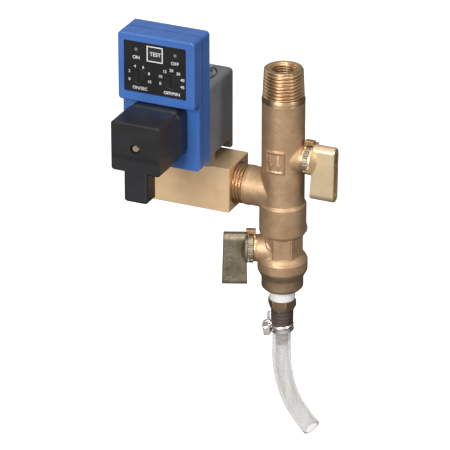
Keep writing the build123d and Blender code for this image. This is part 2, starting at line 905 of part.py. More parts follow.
def make_plunger_spring():
    foot = plunger_top - spring_pocket_depth
    height = core_bottom - foot
    rise = height - 2 * spring_wire
    start = (block_x, 0, foot + spring_wire)
    with BuildPart() as spring:
        with BuildLine():
            Helix(rise / spring_turns, rise, spring_radius, center=start)
        with BuildSketch(Plane(origin=(block_x + spring_radius, 0, foot + spring_wire),
                               z_dir=(0, 1, rise / spring_turns / (2 * pi * spring_radius)))):
            Rectangle(2 * spring_wire, 2 * spring_wire)
        sweep(is_frenet=True)
    return spring.part


def make_coil_housing():
    """Moulded coil: rounded top, notched underside, nut recess and the terminal base in front."""
    bore_radius = tube_outer_radius + coil_bore_gap
    cavity_bottom = coil_bottom + coil_notch_height + cavity_bottom_wall
    cavity_height = winding_height + 2 * bobbin_flange
    base_front = -timer_back + gasket_thickness
    base_depth = -base_front - coil_depth / 2 + 2
    with BuildPart() as coil:
        with Locations((block_x, 0, (coil_bottom + coil_top) / 2)):
            Box(coil_width, coil_depth, coil_height)
        fillet(coil.edges().filter_by(Axis.Z), coil_corner)
        fillet(coil.faces().sort_by(Axis.Z)[-1].edges(), coil_round)
        with Locations((block_x, base_front + base_depth / 2, plug_z)):
            Box(terminal_base_width, base_depth, terminal_base_height)
        with Locations((block_x, (coil_notch_back - coil_notch_front) / 2,
                        coil_bottom + coil_notch_height / 2)):
            Box(coil_width, coil_notch_front + coil_notch_back, coil_notch_height,
                mode=Mode.SUBTRACT)
        bore(coil_axis, coil_bottom, coil_top, bore_radius)
        bore(coil_axis, coil_top - top_recess_depth, coil_top, top_recess_radius)
        bore(coil_axis, cavity_bottom, cavity_bottom + cavity_height, bobbin_radius + loose_gap)
        with BuildSketch(front_plane(base_front, block_x, plug_z)):
            with Locations(*blade_points[:2]):
                Rectangle(blade_thickness, blade_width)
            with Locations(blade_points[2]):
                Rectangle(blade_width, blade_thickness)
            Circle(screw_radius + thread_gap)
        extrude(amount=-blade_root, mode=Mode.SUBTRACT)
    return coil.part


def make_bobbin():
    bottom = coil_bottom + coil_notch_height + cavity_bottom_wall
    top = bottom + winding_height + 2 * bobbin_flange
    inner = tube_outer_radius + coil_bore_gap
    with BuildPart() as bobbin:
        turn(
            coil_axis,
            [
                (inner, bottom),
                (bobbin_radius, bottom),
                (bobbin_radius, bottom + bobbin_flange),
                (inner + bobbin_wall, bottom + bobbin_flange),
                (inner + bobbin_wall, top - bobbin_flange),
                (bobbin_radius, top - bobbin_flange),
                (bobbin_radius, top),
                (inner, top),
            ],
        )
    return bobbin.part


def make_winding():
    bottom = coil_bottom + coil_notch_height + cavity_bottom_wall + bobbin_flange
    inner = tube_outer_radius + coil_bore_gap + bobbin_wall + thread_gap
    with BuildPart() as winding:
        washer(coil_axis, bottom, bottom + winding_height, inner, winding_radius)
    return winding.part


def make_coil_nut():
    seat = coil_top - top_recess_depth
    with BuildPart() as nut:
        bore(coil_axis, seat, coil_top, nut_flange_radius, mode=Mode.ADD)
        with BuildSketch(coil_axis.offset(coil_top)):
            RegularPolygon(nut_hex / 2, 6, major_radius=False, rotation=24)
        extrude(amount=nut_height - top_recess_depth)
        bore(coil_axis, seat, seat + nut_height, stud_radius + thread_gap)
    return nut.part


# ================================================================ timer


def make_blades(plane, length):
    """Three flat contact blades, standing on the given plane."""
    with BuildPart() as blades:
        with BuildSketch(plane):
            with Locations(*blade_points[:2]):
                Rectangle(blade_thickness, blade_width)
            with Locations(blade_points[2]):
                Rectangle(blade_width, blade_thickness)
        extrude(amount=length)
    return blades.part


def make_gasket(y):
    """Square profile gasket with a window for the blades."""
    with BuildPart() as gasket:
        with BuildSketch(front_plane(y, block_x, plug_z)):
            RectangleRounded(gasket_side, gasket_side, 2)
            RectangleRounded(gasket_window, gasket_window, 1, mode=Mode.SUBTRACT)
        extrude(amount=gasket_thickness)
    return gasket.part


def blade_slots(gap):
    """Holes for the blades and the long screw, in the sketch that is being drawn."""
    with Locations(*blade_points[:2]):
        Rectangle(blade_thickness + 2 * gap, blade_width + 2 * gap)
    with Locations(blade_points[2]):
        Rectangle(blade_width + 2 * gap, blade_thickness + 2 * gap)
    Circle(screw_radius + gap)


def make_timer_base():
    """Rear shell of the timer, open towards the front."""
    middle = (timer_top + timer_bottom) / 2
    height = timer_top - timer_bottom
    with BuildPart() as base:
        with BuildSketch(front_plane(-timer_back, timer_x, middle)):
            RectangleRounded(timer_width, height, timer_corner)
        extrude(amount=timer_base_depth)
        with BuildSketch(front_plane(-timer_back - timer_wall, timer_x, middle)):
            RectangleRounded(timer_width - 2 * timer_wall, height - 2 * timer_wall,
                             timer_corner - timer_wall / 2)
        extrude(amount=timer_base_depth, mode=Mode.SUBTRACT)
        with BuildSketch(front_plane(-timer_back, block_x, plug_z)):
            blade_slots(loose_gap)
        extrude(amount=timer_wall, mode=Mode.SUBTRACT)
    return base.part


def make_timer_front():
    """Stepped front shell: the control box above, the flat socket plate below."""
    middle = (timer_top + timer_bottom) / 2
    height = timer_top - timer_bottom
    box_height = timer_top - timer_step
    box_middle = (timer_top + timer_step) / 2
    inner_width = timer_width - 2 * timer_wall
    with BuildPart() as front:
        with BuildSketch(front_plane(timer_parting_y, timer_x, middle)):
            RectangleRounded(timer_width, height, timer_corner)
        extrude(amount=timer_plate_depth - timer_base_depth)
        with BuildSketch(front_plane(timer_parting_y, timer_x, box_middle)):
            RectangleRounded(timer_width, box_height, timer_corner)
        extrude(amount=timer_front_depth - timer_base_depth)
        outer = front.faces().filter_by(Axis.Y).sort_by(Axis.Y)
        fillet(outer[0].edges(), timer_edge)
        with BuildSketch(front_plane(timer_parting_y, timer_x, middle)):
            RectangleRounded(inner_width, height - 2 * timer_wall, timer_corner - timer_wall / 2)
        extrude(amount=timer_plate_depth - timer_base_depth - timer_wall, mode=Mode.SUBTRACT)
        with BuildSketch(front_plane(timer_parting_y, timer_x, box_middle)):
            RectangleRounded(inner_width, box_height - 2 * timer_wall,
                             timer_corner - timer_wall / 2)
        extrude(amount=timer_front_depth - timer_base_depth - timer_wall - panel_recess,
                mode=Mode.SUBTRACT)
        with BuildSketch(front_plane(timer_front_y, panel_x, panel_z)):
            RectangleRounded(panel_width, panel_height, panel_corner)
        extrude(amount=-panel_recess, mode=Mode.SUBTRACT)
        with BuildSketch(front_plane(panel_floor_y, panel_x, 0)):
            control_holes()
        extrude(amount=-timer_wall, mode=Mode.SUBTRACT)
        with BuildSketch(front_plane(timer_plate_y, block_x, plug_z)):
            blade_slots(loose_gap)
        extrude(amount=-timer_wall, mode=Mode.SUBTRACT)
    return front.part


def control_holes():
    """Holes for the button, lamps and knobs, in a sketch whose origin is level with the inlet."""
    with Locations((0, button_z)):
        Rectangle(button_width + 2 * loose_gap, button_height + 2 * loose_gap)
    with Locations((-led_spacing / 2, led_z), (led_spacing / 2, led_z)):
        Circle(led_radius + loose_gap)
    with Locations((-knob_spacing / 2, knob_z), (knob_spacing / 2, knob_z)):
        Circle(knob_radius + loose_gap)


def make_face_panel():
    with BuildPart() as panel:
        with BuildSketch(front_plane(panel_floor_y, panel_x, panel_z)):
            RectangleRounded(panel_width - 2 * loose_gap, panel_height - 2 * loose_gap,
                             panel_corner - loose_gap)
        extrude(amount=panel_thickness)
        with BuildSketch(front_plane(panel_floor_y, panel_x, 0)):
            control_holes()
        extrude(amount=panel_thickness, mode=Mode.SUBTRACT)
    return panel.part


def make_test_button():
    """Button cap with a flange behind the shell that keeps it in."""
    flange_front = panel_floor_y + timer_wall + end_gap
    with BuildPart() as button:
        with BuildSketch(front_plane(flange_front, panel_x, button_z)):
            RectangleRounded(button_width, button_height, 0.6)
        extrude(amount=flange_front - panel_face_y + button_proud)
        with BuildSketch(front_plane(flange_front + button_flange, panel_x, button_z)):
            Rectangle(button_width + 2, button_height + 2)
        extrude(amount=button_flange)
    return button.part


def make_test_switch():
    """Key switch on the board, one stroke behind the button's flange."""
    front = panel_floor_y + timer_wall + end_gap + button_flange + button_travel + 2 * end_gap
    with BuildPart() as switch:
        with BuildSketch(front_plane(board_front_y, panel_x, button_z)):
            Rectangle(switch_side, switch_side)
        extrude(amount=board_front_y - front)
    return switch.part


def make_led(side):
    with BuildPart() as led:
        with BuildSketch(front_plane(board_front_y, panel_x + side * led_spacing / 2, led_z)):
            Circle(led_radius)
        extrude(amount=board_front_y - panel_face_y)
        chamfer(led.faces().sort_by(Axis.Y)[0].edges(), led_radius * 0.5)
    return led.part


def make_knob(side):
    """Screwdriver knob: slotted disc on a shaft that runs into the trimmer."""
    plane = front_plane(0, panel_x + side * knob_spacing / 2, knob_z)
    face = -panel_face_y + knob_proud
    back = -panel_floor_y - knob_collar
    with BuildPart() as knob:
        bore(plane, back, face, knob_radius, mode=Mode.ADD)
        bore(plane, -board_front_y + end_gap, back, knob_shaft_radius, mode=Mode.ADD)
        with BuildSketch(plane.offset(face)):
            Rectangle(knob_slot_width, 2 * knob_radius)
        extrude(amount=-knob_slot_depth, mode=Mode.SUBTRACT)
    return knob.part


def make_trimmers():
    """The two timing resistors behind the knobs."""
    with BuildPart() as trimmers:
        with BuildSketch(front_plane(board_front_y, panel_x, knob_z)):
            with Locations((-knob_spacing / 2, 0), (knob_spacing / 2, 0)):
                Rectangle(trimmer_side, trimmer_side)
                Circle(knob_shaft_radius + running_gap, mode=Mode.SUBTRACT)
        extrude(amount=trimmer_height)
    return trimmers.part


def make_circuit_board():
    inset = timer_wall + board_margin
    middle = (timer_top + timer_bottom) / 2
    with BuildPart() as board:
        with BuildSketch(front_plane(board_back_y, timer_x, middle)):
            RectangleRounded(timer_width - 2 * inset, timer_top - timer_bottom - 2 * inset,
                             board_corner)
        extrude(amount=board_thickness)
        with BuildSketch(front_plane(board_back_y, block_x, plug_z)):
            blade_slots(0)
            Circle(screw_radius + loose_gap)
        extrude(amount=board_thickness, mode=Mode.SUBTRACT)
    return board.part


def make_blade_clips():
    """Three spring sockets on the back of the board that take the coil's blades."""
    with BuildPart() as clips:
        with BuildSketch(front_plane(board_back_y + clip_length, block_x, plug_z)):
            with Locations(*blade_points[:2]):
                Rectangle(blade_thickness + 2 * clip_wall, blade_width + 2 * clip_wall)
                Rectangle(blade_thickness + 0.1, blade_width + 0.1, mode=Mode.SUBTRACT)
            with Locations(blade_points[2]):
                Rectangle(blade_width + 2 * clip_wall, blade_thickness + 2 * clip_wall)
                Rectangle(blade_width + 0.1, blade_thickness + 0.1, mode=Mode.SUBTRACT)
        extrude(amount=clip_length)
    return clips.part


def make_timer_socket():
    """Black block on the timer's plate that carries the blades for the plug."""
    with BuildPart() as socket:
        with BuildSketch(front_plane(timer_plate_y, block_x, plug_z)):
            RectangleRounded(socket_width, socket_height, socket_corner)
        extrude(amount=socket_depth)
        chamfer(socket.faces().sort_by(Axis.Y)[0].edges(), socket_edge)
        with BuildSketch(front_plane(timer_plate_y, block_x, plug_z)):
            blade_slots(0)
        extrude(amount=socket_depth, mode=Mode.SUBTRACT)
        with BuildSketch(front_plane(timer_plate_y, block_x, plug_z)):
            Circle(screw_radius + screw_hole_gap)
        extrude(amount=socket_depth, mode=Mode.SUBTRACT)
    return socket.part


# ================================================================ plug


def make_plug_housing():
    """Plug shell with its screw recess, lid lines and the cable outlet below."""
    gland_top = plug_z - plug_height / 2
    gland_bottom = gland_top - gland_drop
    gland_y = plug_front_y + gland_depth / 2
    cavity_depth = insert_depth + 1
    with BuildPart() as plug:
        with BuildSketch(front_plane(plug_back_y, block_x, plug_z)):
            RectangleRounded(plug_width, plug_height, 1.6)
        extrude(amount=plug_depth)
        chamfer(plug.faces().sort_by(Axis.Y)[0].edges(), plug_edge)
        with BuildSketch(Plane(origin=(block_x, gland_y, gland_bottom))):
            RectangleRounded(gland_width, gland_depth, gland_corner)
        extrude(amount=gland_drop + plug_wall)
        chamfer(plug.faces().sort_by(Axis.Z)[0].edges(), gland_bevel)
        with BuildSketch(front_plane(plug_back_y, block_x, plug_z)):
            Rectangle(insert_side + 2 * loose_gap, insert_side + 2 * loose_gap)
        extrude(amount=cavity_depth, mode=Mode.SUBTRACT)
        with Locations((block_x, plug_back_y - cavity_depth, plug_z)):
            Box(plug_width - 2 * plug_wall, 2 * (plug_depth - cavity_depth - head_recess_depth
                - plug_wall), plug_height - 2 * plug_wall, mode=Mode.SUBTRACT)
        bore(front_plane(0, block_x, plug_z), -plug_back_y, -plug_front_y,
             screw_radius + screw_hole_gap)
        bore(front_plane(0, block_x, plug_z), -plug_front_y - head_recess_depth, -plug_front_y,
             head_recess_radius)
        bore(Plane(origin=(block_x, gland_y, 0)), gland_bottom, plug_z - plug_height / 4,
             cable_radius)
        with BuildSketch(front_plane(plug_front_y, block_x, plug_z - line_drop)):
            with Locations((0, 0), (0, -line_pitch)):
                Rectangle(plug_width, line_width)
        extrude(amount=-line_depth, mode=Mode.SUBTRACT)
    return plug.part


def make_plug_insert():
    with BuildPart() as insert:
        with BuildSketch(front_plane(plug_back_y - end_gap, block_x, plug_z)):
            Rectangle(insert_side, insert_side)
        extrude(amount=insert_depth)
        with BuildSketch(front_plane(plug_back_y - end_gap, block_x, plug_z)):
            blade_slots(running_gap)
        extrude(amount=socket_blade_length, mode=Mode.SUBTRACT)
        bore(front_plane(0, block_x, plug_z), -plug_back_y, -plug_back_y + insert_depth + 1,
             screw_radius + screw_hole_gap)
    return insert.part


def make_plug_screw():
    """Long screw through the plug and the timer into the coil's terminal base."""
    head_seat = -plug_front_y - head_recess_depth
    tip = timer_back - gasket_thickness - blade_root + 0.2
    with BuildPart() as screw:
        turn(
            front_plane(0, block_x, plug_z),
            [
                (0, tip),
                (screw_radius, tip),
                (screw_radius, head_seat),
                (screw_head_radius, head_seat),
                (screw_head_radius, head_seat + screw_head_height - 0.4),
                (screw_head_radius - 0.4, head_seat + screw_head_height),
                (0, head_seat + screw_head_height),
            ],
        )
        with BuildSketch(front_plane(-head_seat - screw_head_height, block_x, plug_z)):
            Rectangle(2 * screw_head_radius, slot_width)
        extrude(amount=-slot_depth, mode=Mode.SUBTRACT)
    return screw.part


# ================================================================ hose tail, clamp and hose


def make_hose_tail():
    """Hose tail: thread, hexagon and a row of barbs."""
    hex_top = body_bottom - tape_length
    outline = [
        (tail_bore_radius, body_bottom + tail_thread_length),
        (port_radius - thread_gap, body_bottom + tail_thread_length),
        (port_radius - thread_gap, hex_top),
        (barb_radius, hex_top),
    ]
    for barb in range(barb_count):
        crest = hose_top - barb * barb_pitch
        outline += [(barb_radius, crest), (barb_crest, crest - 0.6)]
    tip = hose_top - barb_count * barb_pitch
    outline += [(barb_radius - 0.2, tip), (tail_bore_radius, tip)]
    with BuildPart() as tail:
        turn(Plane.XY, outline)
        with BuildSketch(Plane.XY.offset(hose_top)):
            RegularPolygon(tail_hex / 2, 6, major_radius=False, rotation=10)
        extrude(amount=tail_hex_length)
        bore(Plane.XY, hose_top - 1, hex_top + 1, tail_bore_radius)
    return tail.part


def make_tape():
    """Wraps of sealing tape that show between the body and the hexagon."""
    with BuildPart() as tape:
        turn(
            Plane.XY,
            [
                (port_radius, body_bottom - tape_length),
                (tape_radius, body_bottom - tape_length),
                (tape_radius, body_bottom),
                (port_radius, body_bottom),
            ],
        )
    return tape.part


def clamp_plane():
    """Plane across the hose at the clamp: z up the hose, x towards the screw housing."""
    heading = Vector(cos(radians(clamp_heading)), sin(radians(clamp_heading)), 0)
    level = Plane(origin=(0, 0, hose_top - clamp_drop), x_dir=heading, z_dir=(0, 0, 1))
    return level.rotated((0, clamp_tilt, 0))


def make_clamp_band():
    with BuildPart() as band:
        washer(clamp_plane(), -clamp_width / 2, clamp_width / 2, hose_radius,
               hose_radius + clamp_wall)
    return band.part


def clamp_screw_plane():
    """Plane in the middle of the clamp's housing, whose normal is the screw's axis."""
    base = clamp_plane()
    middle = base.origin + base.x_dir * (hose_radius + clamp_wall + clamp_housing_depth / 2)
    return Plane(origin=middle, x_dir=base.z_dir, z_dir=base.y_dir)


def make_clamp_housing():
    base = clamp_screw_plane()
    with BuildPart() as housing:
        with BuildSketch(base.offset(-clamp_housing_length / 2)):
            RectangleRounded(clamp_housing_height, clamp_housing_depth, 1.2)
        extrude(amount=clamp_housing_length)
        bore(base, -clamp_housing_length / 2, clamp_housing_length / 2,
             clamp_screw_radius + thread_gap)
        bore(clamp_plane(), -clamp_housing_height, clamp_housing_height, hose_radius + clamp_wall)
    return housing.part


def make_clamp_screw():
    base = clamp_screw_plane()
    head = clamp_housing_length / 2 + end_gap
    with BuildPart() as screw:
        bore(base, -clamp_housing_length / 2, head, clamp_screw_radius, mode=Mode.ADD)
        with BuildSketch(base.offset(head)):
            RegularPolygon(clamp_head_radius, 6)
        extrude(amount=clamp_head_length)
        with BuildSketch(base.offset(head + clamp_head_length)):
            Rectangle(2 * clamp_head_radius, clamp_slot)
        extrude(amount=-clamp_slot, mode=Mode.SUBTRACT)
    return screw.part


def hose_points():
    """The route's points in space, from the hose's upper end to its cut end."""
    heading = Vector(cos(radians(hose_heading)), sin(radians(hose_heading)), 0)
    return [heading * out + Vector(0, 0, hose_top - drop) for out, drop in hose_route]


def bend_radii(points):
    """Largest tangent arc at each corner of the route: 0.45 of the shorter run."""
    radii = []
    for before, corner, after in zip(points, points[1:], points[2:]):
        run_in = corner - before
        run_out = after - corner
        half_turn = radians(run_in.get_angle(run_out)) / 2
        shorter = min(run_in.length, run_out.length)
        radii.append(0.45 * shorter * cos(half_turn) / sin(half_turn))
    return radii


def make_drain_hose():
    """Clear hose over the barbs: straight runs joined by tangent arcs."""
    points = hose_points()
    radii = bend_radii(points)
    print("hose bend radii", [round(radius, 1) for radius in radii])
    with BuildPart() as hose:
        with BuildLine() as route:
            FilletPolyline(*points, radius=radii)
        with BuildSketch(Plane(origin=points[0], z_dir=(0, 0, -1))):
            Circle(hose_radius)
            Circle(hose_bore_radius, mode=Mode.SUBTRACT)
        sweep(path=route.wire())
    length = route.wire().length
    section = pi * (hose_radius**2 - hose_bore_radius**2)
    print(f"hose length {length:.2f}, volume {hose.part.volume:.1f}, section x length "
          f"{section * length:.1f}")
    return hose.part


# ================================================================ everything

save("valve_body", make_valve_body())
make_ball_valve("upper", upper_fixed, upper_turned, upper_boss_reach, 1)
make_ball_valve("lower", lower_fixed, lower_turned, lower_boss_reach, -1)
save("strainer_screen", make_strainer())

save("solenoid_block", make_solenoid_block())
save("armature_tube", make_armature_tube())
save("tube_o_ring", make_o_ring())
save("fixed_core", make_fixed_core())
save("plunger", make_plunger())
save("plunger_seal", make_plunger_seal())
save("plunger_spring", make_plunger_spring())
save("coil_housing", make_coil_housing())
save("coil_bobbin", make_bobbin())
save("coil_winding", make_winding())
save("coil_nut", make_coil_nut())
coil_blade_foot = front_plane(-timer_back + gasket_thickness + blade_root, block_x, plug_z)
save("coil_terminals", make_blades(coil_blade_foot, blade_root + coil_blade_length))
save("coil_gasket", make_gasket(-timer_back + gasket_thickness))

save("timer_base", make_timer_base())
save("timer_front", make_timer_front())
save("face_panel", make_face_panel())
save("test_button", make_test_button())
save("test_switch", make_test_switch())
save("on_led", make_led(-1))
save("off_led", make_led(1))
save("on_time_knob", make_knob(-1))
save("off_time_knob", make_knob(1))
save("time_trimmers", make_trimmers())
save("circuit_board", make_circuit_board())
save("blade_clips", make_blade_clips())
save("timer_socket", make_timer_socket())
socket_blade_span = board_back_y - socket_y + socket_blade_length
save("socket_blades", make_blades(front_plane(board_back_y, block_x, plug_z), socket_blade_span))

save("plug_gasket", make_gasket(socket_y))
save("plug_housing", make_plug_housing())
save("plug_insert", make_plug_insert())
save("plug_screw", make_plug_screw())

save("hose_tail", make_hose_tail())
save("ptfe_tape", make_tape())
save("clamp_band", make_clamp_band())
save("clamp_housing", make_clamp_housing())
save("clamp_screw", make_clamp_screw())
save("drain_hose", make_drain_hose())
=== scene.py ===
import bpy, bmesh, json, math
from mathutils import Matrix, Vector, noise


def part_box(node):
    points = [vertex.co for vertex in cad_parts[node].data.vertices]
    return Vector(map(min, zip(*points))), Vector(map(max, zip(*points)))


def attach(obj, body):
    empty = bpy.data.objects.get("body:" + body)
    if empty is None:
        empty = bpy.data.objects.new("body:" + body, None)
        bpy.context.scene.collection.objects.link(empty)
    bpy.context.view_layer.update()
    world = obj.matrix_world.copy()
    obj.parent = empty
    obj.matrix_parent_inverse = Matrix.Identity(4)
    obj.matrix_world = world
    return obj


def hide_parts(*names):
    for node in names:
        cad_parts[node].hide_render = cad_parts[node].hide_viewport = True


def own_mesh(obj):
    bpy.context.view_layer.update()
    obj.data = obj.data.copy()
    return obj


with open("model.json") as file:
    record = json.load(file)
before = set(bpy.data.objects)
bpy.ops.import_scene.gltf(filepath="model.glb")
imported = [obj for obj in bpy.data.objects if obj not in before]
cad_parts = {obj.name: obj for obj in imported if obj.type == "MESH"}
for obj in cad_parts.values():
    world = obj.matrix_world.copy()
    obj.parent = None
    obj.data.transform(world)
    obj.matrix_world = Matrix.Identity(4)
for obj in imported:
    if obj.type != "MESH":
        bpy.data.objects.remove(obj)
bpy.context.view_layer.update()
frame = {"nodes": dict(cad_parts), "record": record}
record = frame["record"]
MM = 0.001

# ------------------------------------------------------------------ camera
eye = bpy.data.cameras.new("camera")
eye.lens, eye.sensor_width = 320.0, 36.0
eye.clip_start, eye.clip_end = 0.1, 50.0
camera = bpy.data.objects.new("camera", eye)
bpy.context.scene.collection.objects.link(camera)
turn, rise = math.radians(24.27), math.radians(25.0)
place_x, place_y, place_z = 0.74875, -1.73381, 0.79981
back = Vector((math.sin(turn) * math.cos(rise), -math.cos(turn) * math.cos(rise), math.sin(rise)))
right = Vector((math.cos(turn), math.sin(turn), 0.0))
up = back.cross(right)
camera.matrix_world = Matrix((
    (right.x, up.x, back.x, place_x),
    (right.y, up.y, back.y, place_y),
    (right.z, up.z, back.z, place_z),
    (0, 0, 0, 1),
))
bpy.context.scene.camera = camera


# ------------------------------------------------------------------ small tools
def link(name, mesh):
    """New object in the scene."""
    obj = bpy.data.objects.new(name, mesh)
    bpy.context.scene.collection.objects.link(obj)
    return obj


def mesh_from(name, verts, faces, smooth=True):
    """New object from points and faces."""
    mesh = bpy.data.meshes.new(name)
    mesh.from_pydata([tuple(v) for v in verts], [], faces)
    mesh.validate()
    mesh.update()
    obj = link(name, mesh)
    if smooth:
        mesh.shade_smooth()
    return obj


def frame_at(origin, z_dir, x_dir):
    """Matrix of a local frame: z along z_dir, x near x_dir."""
    z = Vector(z_dir).normalized()
    x = Vector(x_dir)
    x = (x - z * x.dot(z)).normalized()
    y = z.cross(x)
    o = Vector(origin)
    return Matrix(((x.x, y.x, z.x, o.x), (x.y, y.y, z.y, o.y), (x.z, y.z, z.z, o.z), (0, 0, 0, 1)))


def heading_at(degrees):
    """Level unit vector at a heading, in degrees from +X."""
    a = math.radians(degrees)
    return Vector((math.cos(a), math.sin(a), 0))


def tidy(obj):
    """Outward normals."""
    bm = bmesh.new()
    bm.from_mesh(obj.data)
    bmesh.ops.recalc_face_normals(bm, faces=bm.faces)
    bm.to_mesh(obj.data)
    bm.free()
    return obj


def place(obj, matrix):
    """Move the mesh, so that the object's own origin stays at the row's origin."""
    obj.data.transform(matrix)
    return obj


def own(obj, body="root", slot=None, *nodes):
    """Ride a piece on its body and hide the CAD nodes that it stands for. The slot is not used."""
    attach(obj, body)
    if nodes:
        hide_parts(*nodes)
    return obj


def dressed(obj, material):
    """Give a piece its one material."""
    obj.data.materials.clear()
    obj.data.materials.append(mats[material])
    return obj


def baked(obj):
    """Apply the modifiers by keeping the evaluated mesh."""
    bpy.context.view_layer.update()
    result = bpy.data.meshes.new_from_object(obj.evaluated_get(
        bpy.context.evaluated_depsgraph_get()))
    obj.modifiers.clear()
    obj.data = result
    return obj


def lathe(name, outline, matrix=Matrix(), steps=96, closed=True):
    """Turned form from (radius, height) pairs about the matrix's z."""
    verts, faces = [], []
    n = len(outline)
    for k in range(steps):
        a = 2 * math.pi * k / steps
        c, s = math.cos(a), math.sin(a)
        verts += [(r * c, r * s, h) for r, h in outline]
    for k in range(steps):
        m = (k + 1) % steps
        for i in range(n if closed else n - 1):
            j = (i + 1) % n
            faces.append((k * n + i, m * n + i, m * n + j, k * n + j))
    obj = mesh_from(name, verts, faces)
    place(obj, matrix)
    return tidy(obj)


def thread(name, matrix, start, end, size, lead_in, inner=False, taper=0.0):
    """Helical thread surface between two heights, with its other wall as a plain tube.

    size is (major radius, minor radius, pitch) in mm, and taper widens an outer thread by that
    much for each mm below its end."""
    major, minor, pitch = size
    cols, rows_per_turn, wall = 120, 14, 0.6
    root_flat, flank = 0.12, 0.76
    rows = max(8, int((end - start) / pitch * rows_per_turn))
    verts, faces = [], []
    for i in range(rows + 1):
        h = start + (end - start) * i / rows
        near = min(h - start, end - h)
        for k in range(cols):
            a = 2 * math.pi * k / cols
            phase = ((h - start) / pitch - k / cols) % 1.0
            wave = 1 - abs(2 * phase - 1)
            wave = min(1.0, max(0.0, (wave - root_flat) / flank))
            depth = (major - minor) * wave
            if inner:
                r = max(major - depth, minor + max(0.0, lead_in - near))
                r = min(r, major)
            else:
                r = min(minor + depth, major - max(0.0, lead_in - (end - h if taper else near)))
                r = max(r, minor * 0.985)
                r += taper * (end - h)
            verts.append((r * math.cos(a), r * math.sin(a), h))
    back_r = major if inner else minor - wall
    base = len(verts)
    for h in (start, end):
        for k in range(cols):
            a = 2 * math.pi * k / cols
            verts.append((back_r * math.cos(a), back_r * math.sin(a), h))
    for i in range(rows):
        for k in range(cols):
            m = (k + 1) % cols
            faces.append((i * cols + k, i * cols + m, (i + 1) * cols + m, (i + 1) * cols + k))
    top = rows * cols
    for k in range(cols):
        m = (k + 1) % cols
        faces.append((k, base + k, base + m, m))
        faces.append((top + k, top + m, base + cols + m, base + cols + k))
        faces.append((base + k, base + cols + k, base + cols + m, base + m))
    obj = mesh_from(name, [Vector(v) * MM for v in verts], faces)
    place(obj, matrix)
    own(dressed(tidy(obj), "thread_brass"), "root", "brass")


# ------------------------------------------------------------------ materials
mats = {}


def nodes_of(name):
    """New material, kept in mats: its node tree and its shader."""
    m = bpy.data.materials.new(name)
    m.use_nodes = True
    tree = m.node_tree
    mats[name] = m
    return tree, tree.nodes["Principled BSDF"]


def add(tree, kind, **values):
    """New node: each value goes to the socket of that name, or else to the node itself."""
    node = tree.nodes.new(kind)
    for key, value in values.items():
        if key in node.inputs:
            node.inputs[key].default_value = value
        else:
            setattr(node, key, value)
    return node


def noise_field(tree, scale, detail=4.0, rough=0.55, stretch=(1, 1, 1)):
    """Noise over the object's own coordinates, stretched along its axes."""
    coord = add(tree, "ShaderNodeTexCoord")
    mapping = add(tree, "ShaderNodeMapping", Scale=stretch)
    tree.links.new(coord.outputs["Object"], mapping.inputs["Vector"])
    field = add(tree, "ShaderNodeTexNoise", Scale=scale, Detail=detail, Roughness=rough)
    tree.links.new(mapping.outputs["Vector"], field.inputs["Vector"])
    return field.outputs["Fac"]


def ramp(tree, source, stops):
    """Colour by value, from (position, colour) stops."""
    node = add(tree, "ShaderNodeValToRGB")
    points = node.color_ramp.elements
    points[0].position, points[0].color = stops[0][0], (*stops[0][1], 1)
    points[1].position, points[1].color = stops[-1][0], (*stops[-1][1], 1)
    for pos, colour in stops[1:-1]:
        e = points.new(pos)
        e.color = (*colour, 1)
    tree.links.new(source, node.inputs["Fac"])
    return node.outputs["Color"]


def spread(tree, source, low_value, high_value, low_in=0.3, high_in=0.7):
    """Stretch a value's range, a noise's middle one by default, over the wanted range."""
    node = add(tree, "ShaderNodeMapRange")
    for key, value in (("From Min", low_in), ("From Max", high_in),
                       ("To Min", low_value), ("To Max", high_value)):
        node.inputs[key].default_value = value
    tree.links.new(source, node.inputs["Value"])
    return node.outputs["Result"]


def bump(tree, shader, layers):
    """Stack bumps: each layer is (height output, strength, distance in metres)."""
    last = None
    for source, strength, distance in layers:
        node = add(tree, "ShaderNodeBump", Strength=strength, Distance=distance)
        tree.links.new(source, node.inputs["Height"])
        if last is not None:
            tree.links.new(last, node.inputs["Normal"])
        last = node.outputs["Normal"]
    tree.links.new(last, shader.inputs["Normal"])


def cast_metal(name, dark, mid, light, rough, lumps, speck=0.2):
    """Sand-cast or die-cast metal: cloudy colour with fine specks, lumps and grain."""
    tree, shader = nodes_of(name)
    broad = noise_field(tree, 90, 5, 0.6)
    grains = noise_field(tree, 1500, 3, 0.7)
    fine = noise_field(tree, 4200, 2, 0.6)
    tone = add(tree, "ShaderNodeMix", data_type="FLOAT")
    tone.inputs["Factor"].default_value = speck
    tree.links.new(broad, tone.inputs["A"])
    tree.links.new(noise_field(tree, 1300, 2, 0.7), tone.inputs["B"])
    tree.links.new(ramp(tree, tone.outputs["Result"], [(0.30, dark), (0.5, mid), (0.70, light)]),
                   shader.inputs["Base Color"])
    tree.links.new(spread(tree, grains, *rough), shader.inputs["Roughness"])
    shader.inputs["Metallic"].default_value = 0.80
    bump(tree, shader, [(noise_field(tree, 420, 3, 0.55), lumps, 0.0003),
                        (grains, 0.35, 0.00012), (fine, 0.2, 0.00005)])


def turned_metal(name, dark, light, rough=(0.16, 0.3), axis=2, lines=3800, metallic=1.0):
    """Machined metal with tool lines across one axis."""
    tree, shader = nodes_of(name)
    stretch = [12.0, 12.0, 12.0]
    stretch[axis] = lines
    streaks = noise_field(tree, 1.0, 3, 0.6, tuple(stretch))
    cloud = noise_field(tree, 140, 4, 0.6)
    tree.links.new(ramp(tree, cloud, [(0.25, dark), (0.75, light)]), shader.inputs["Base Color"])
    tree.links.new(spread(tree, streaks, *rough), shader.inputs["Roughness"])
    shader.inputs["Metallic"].default_value = metallic
    bump(tree, shader, [(streaks, 0.25, 0.00004)])


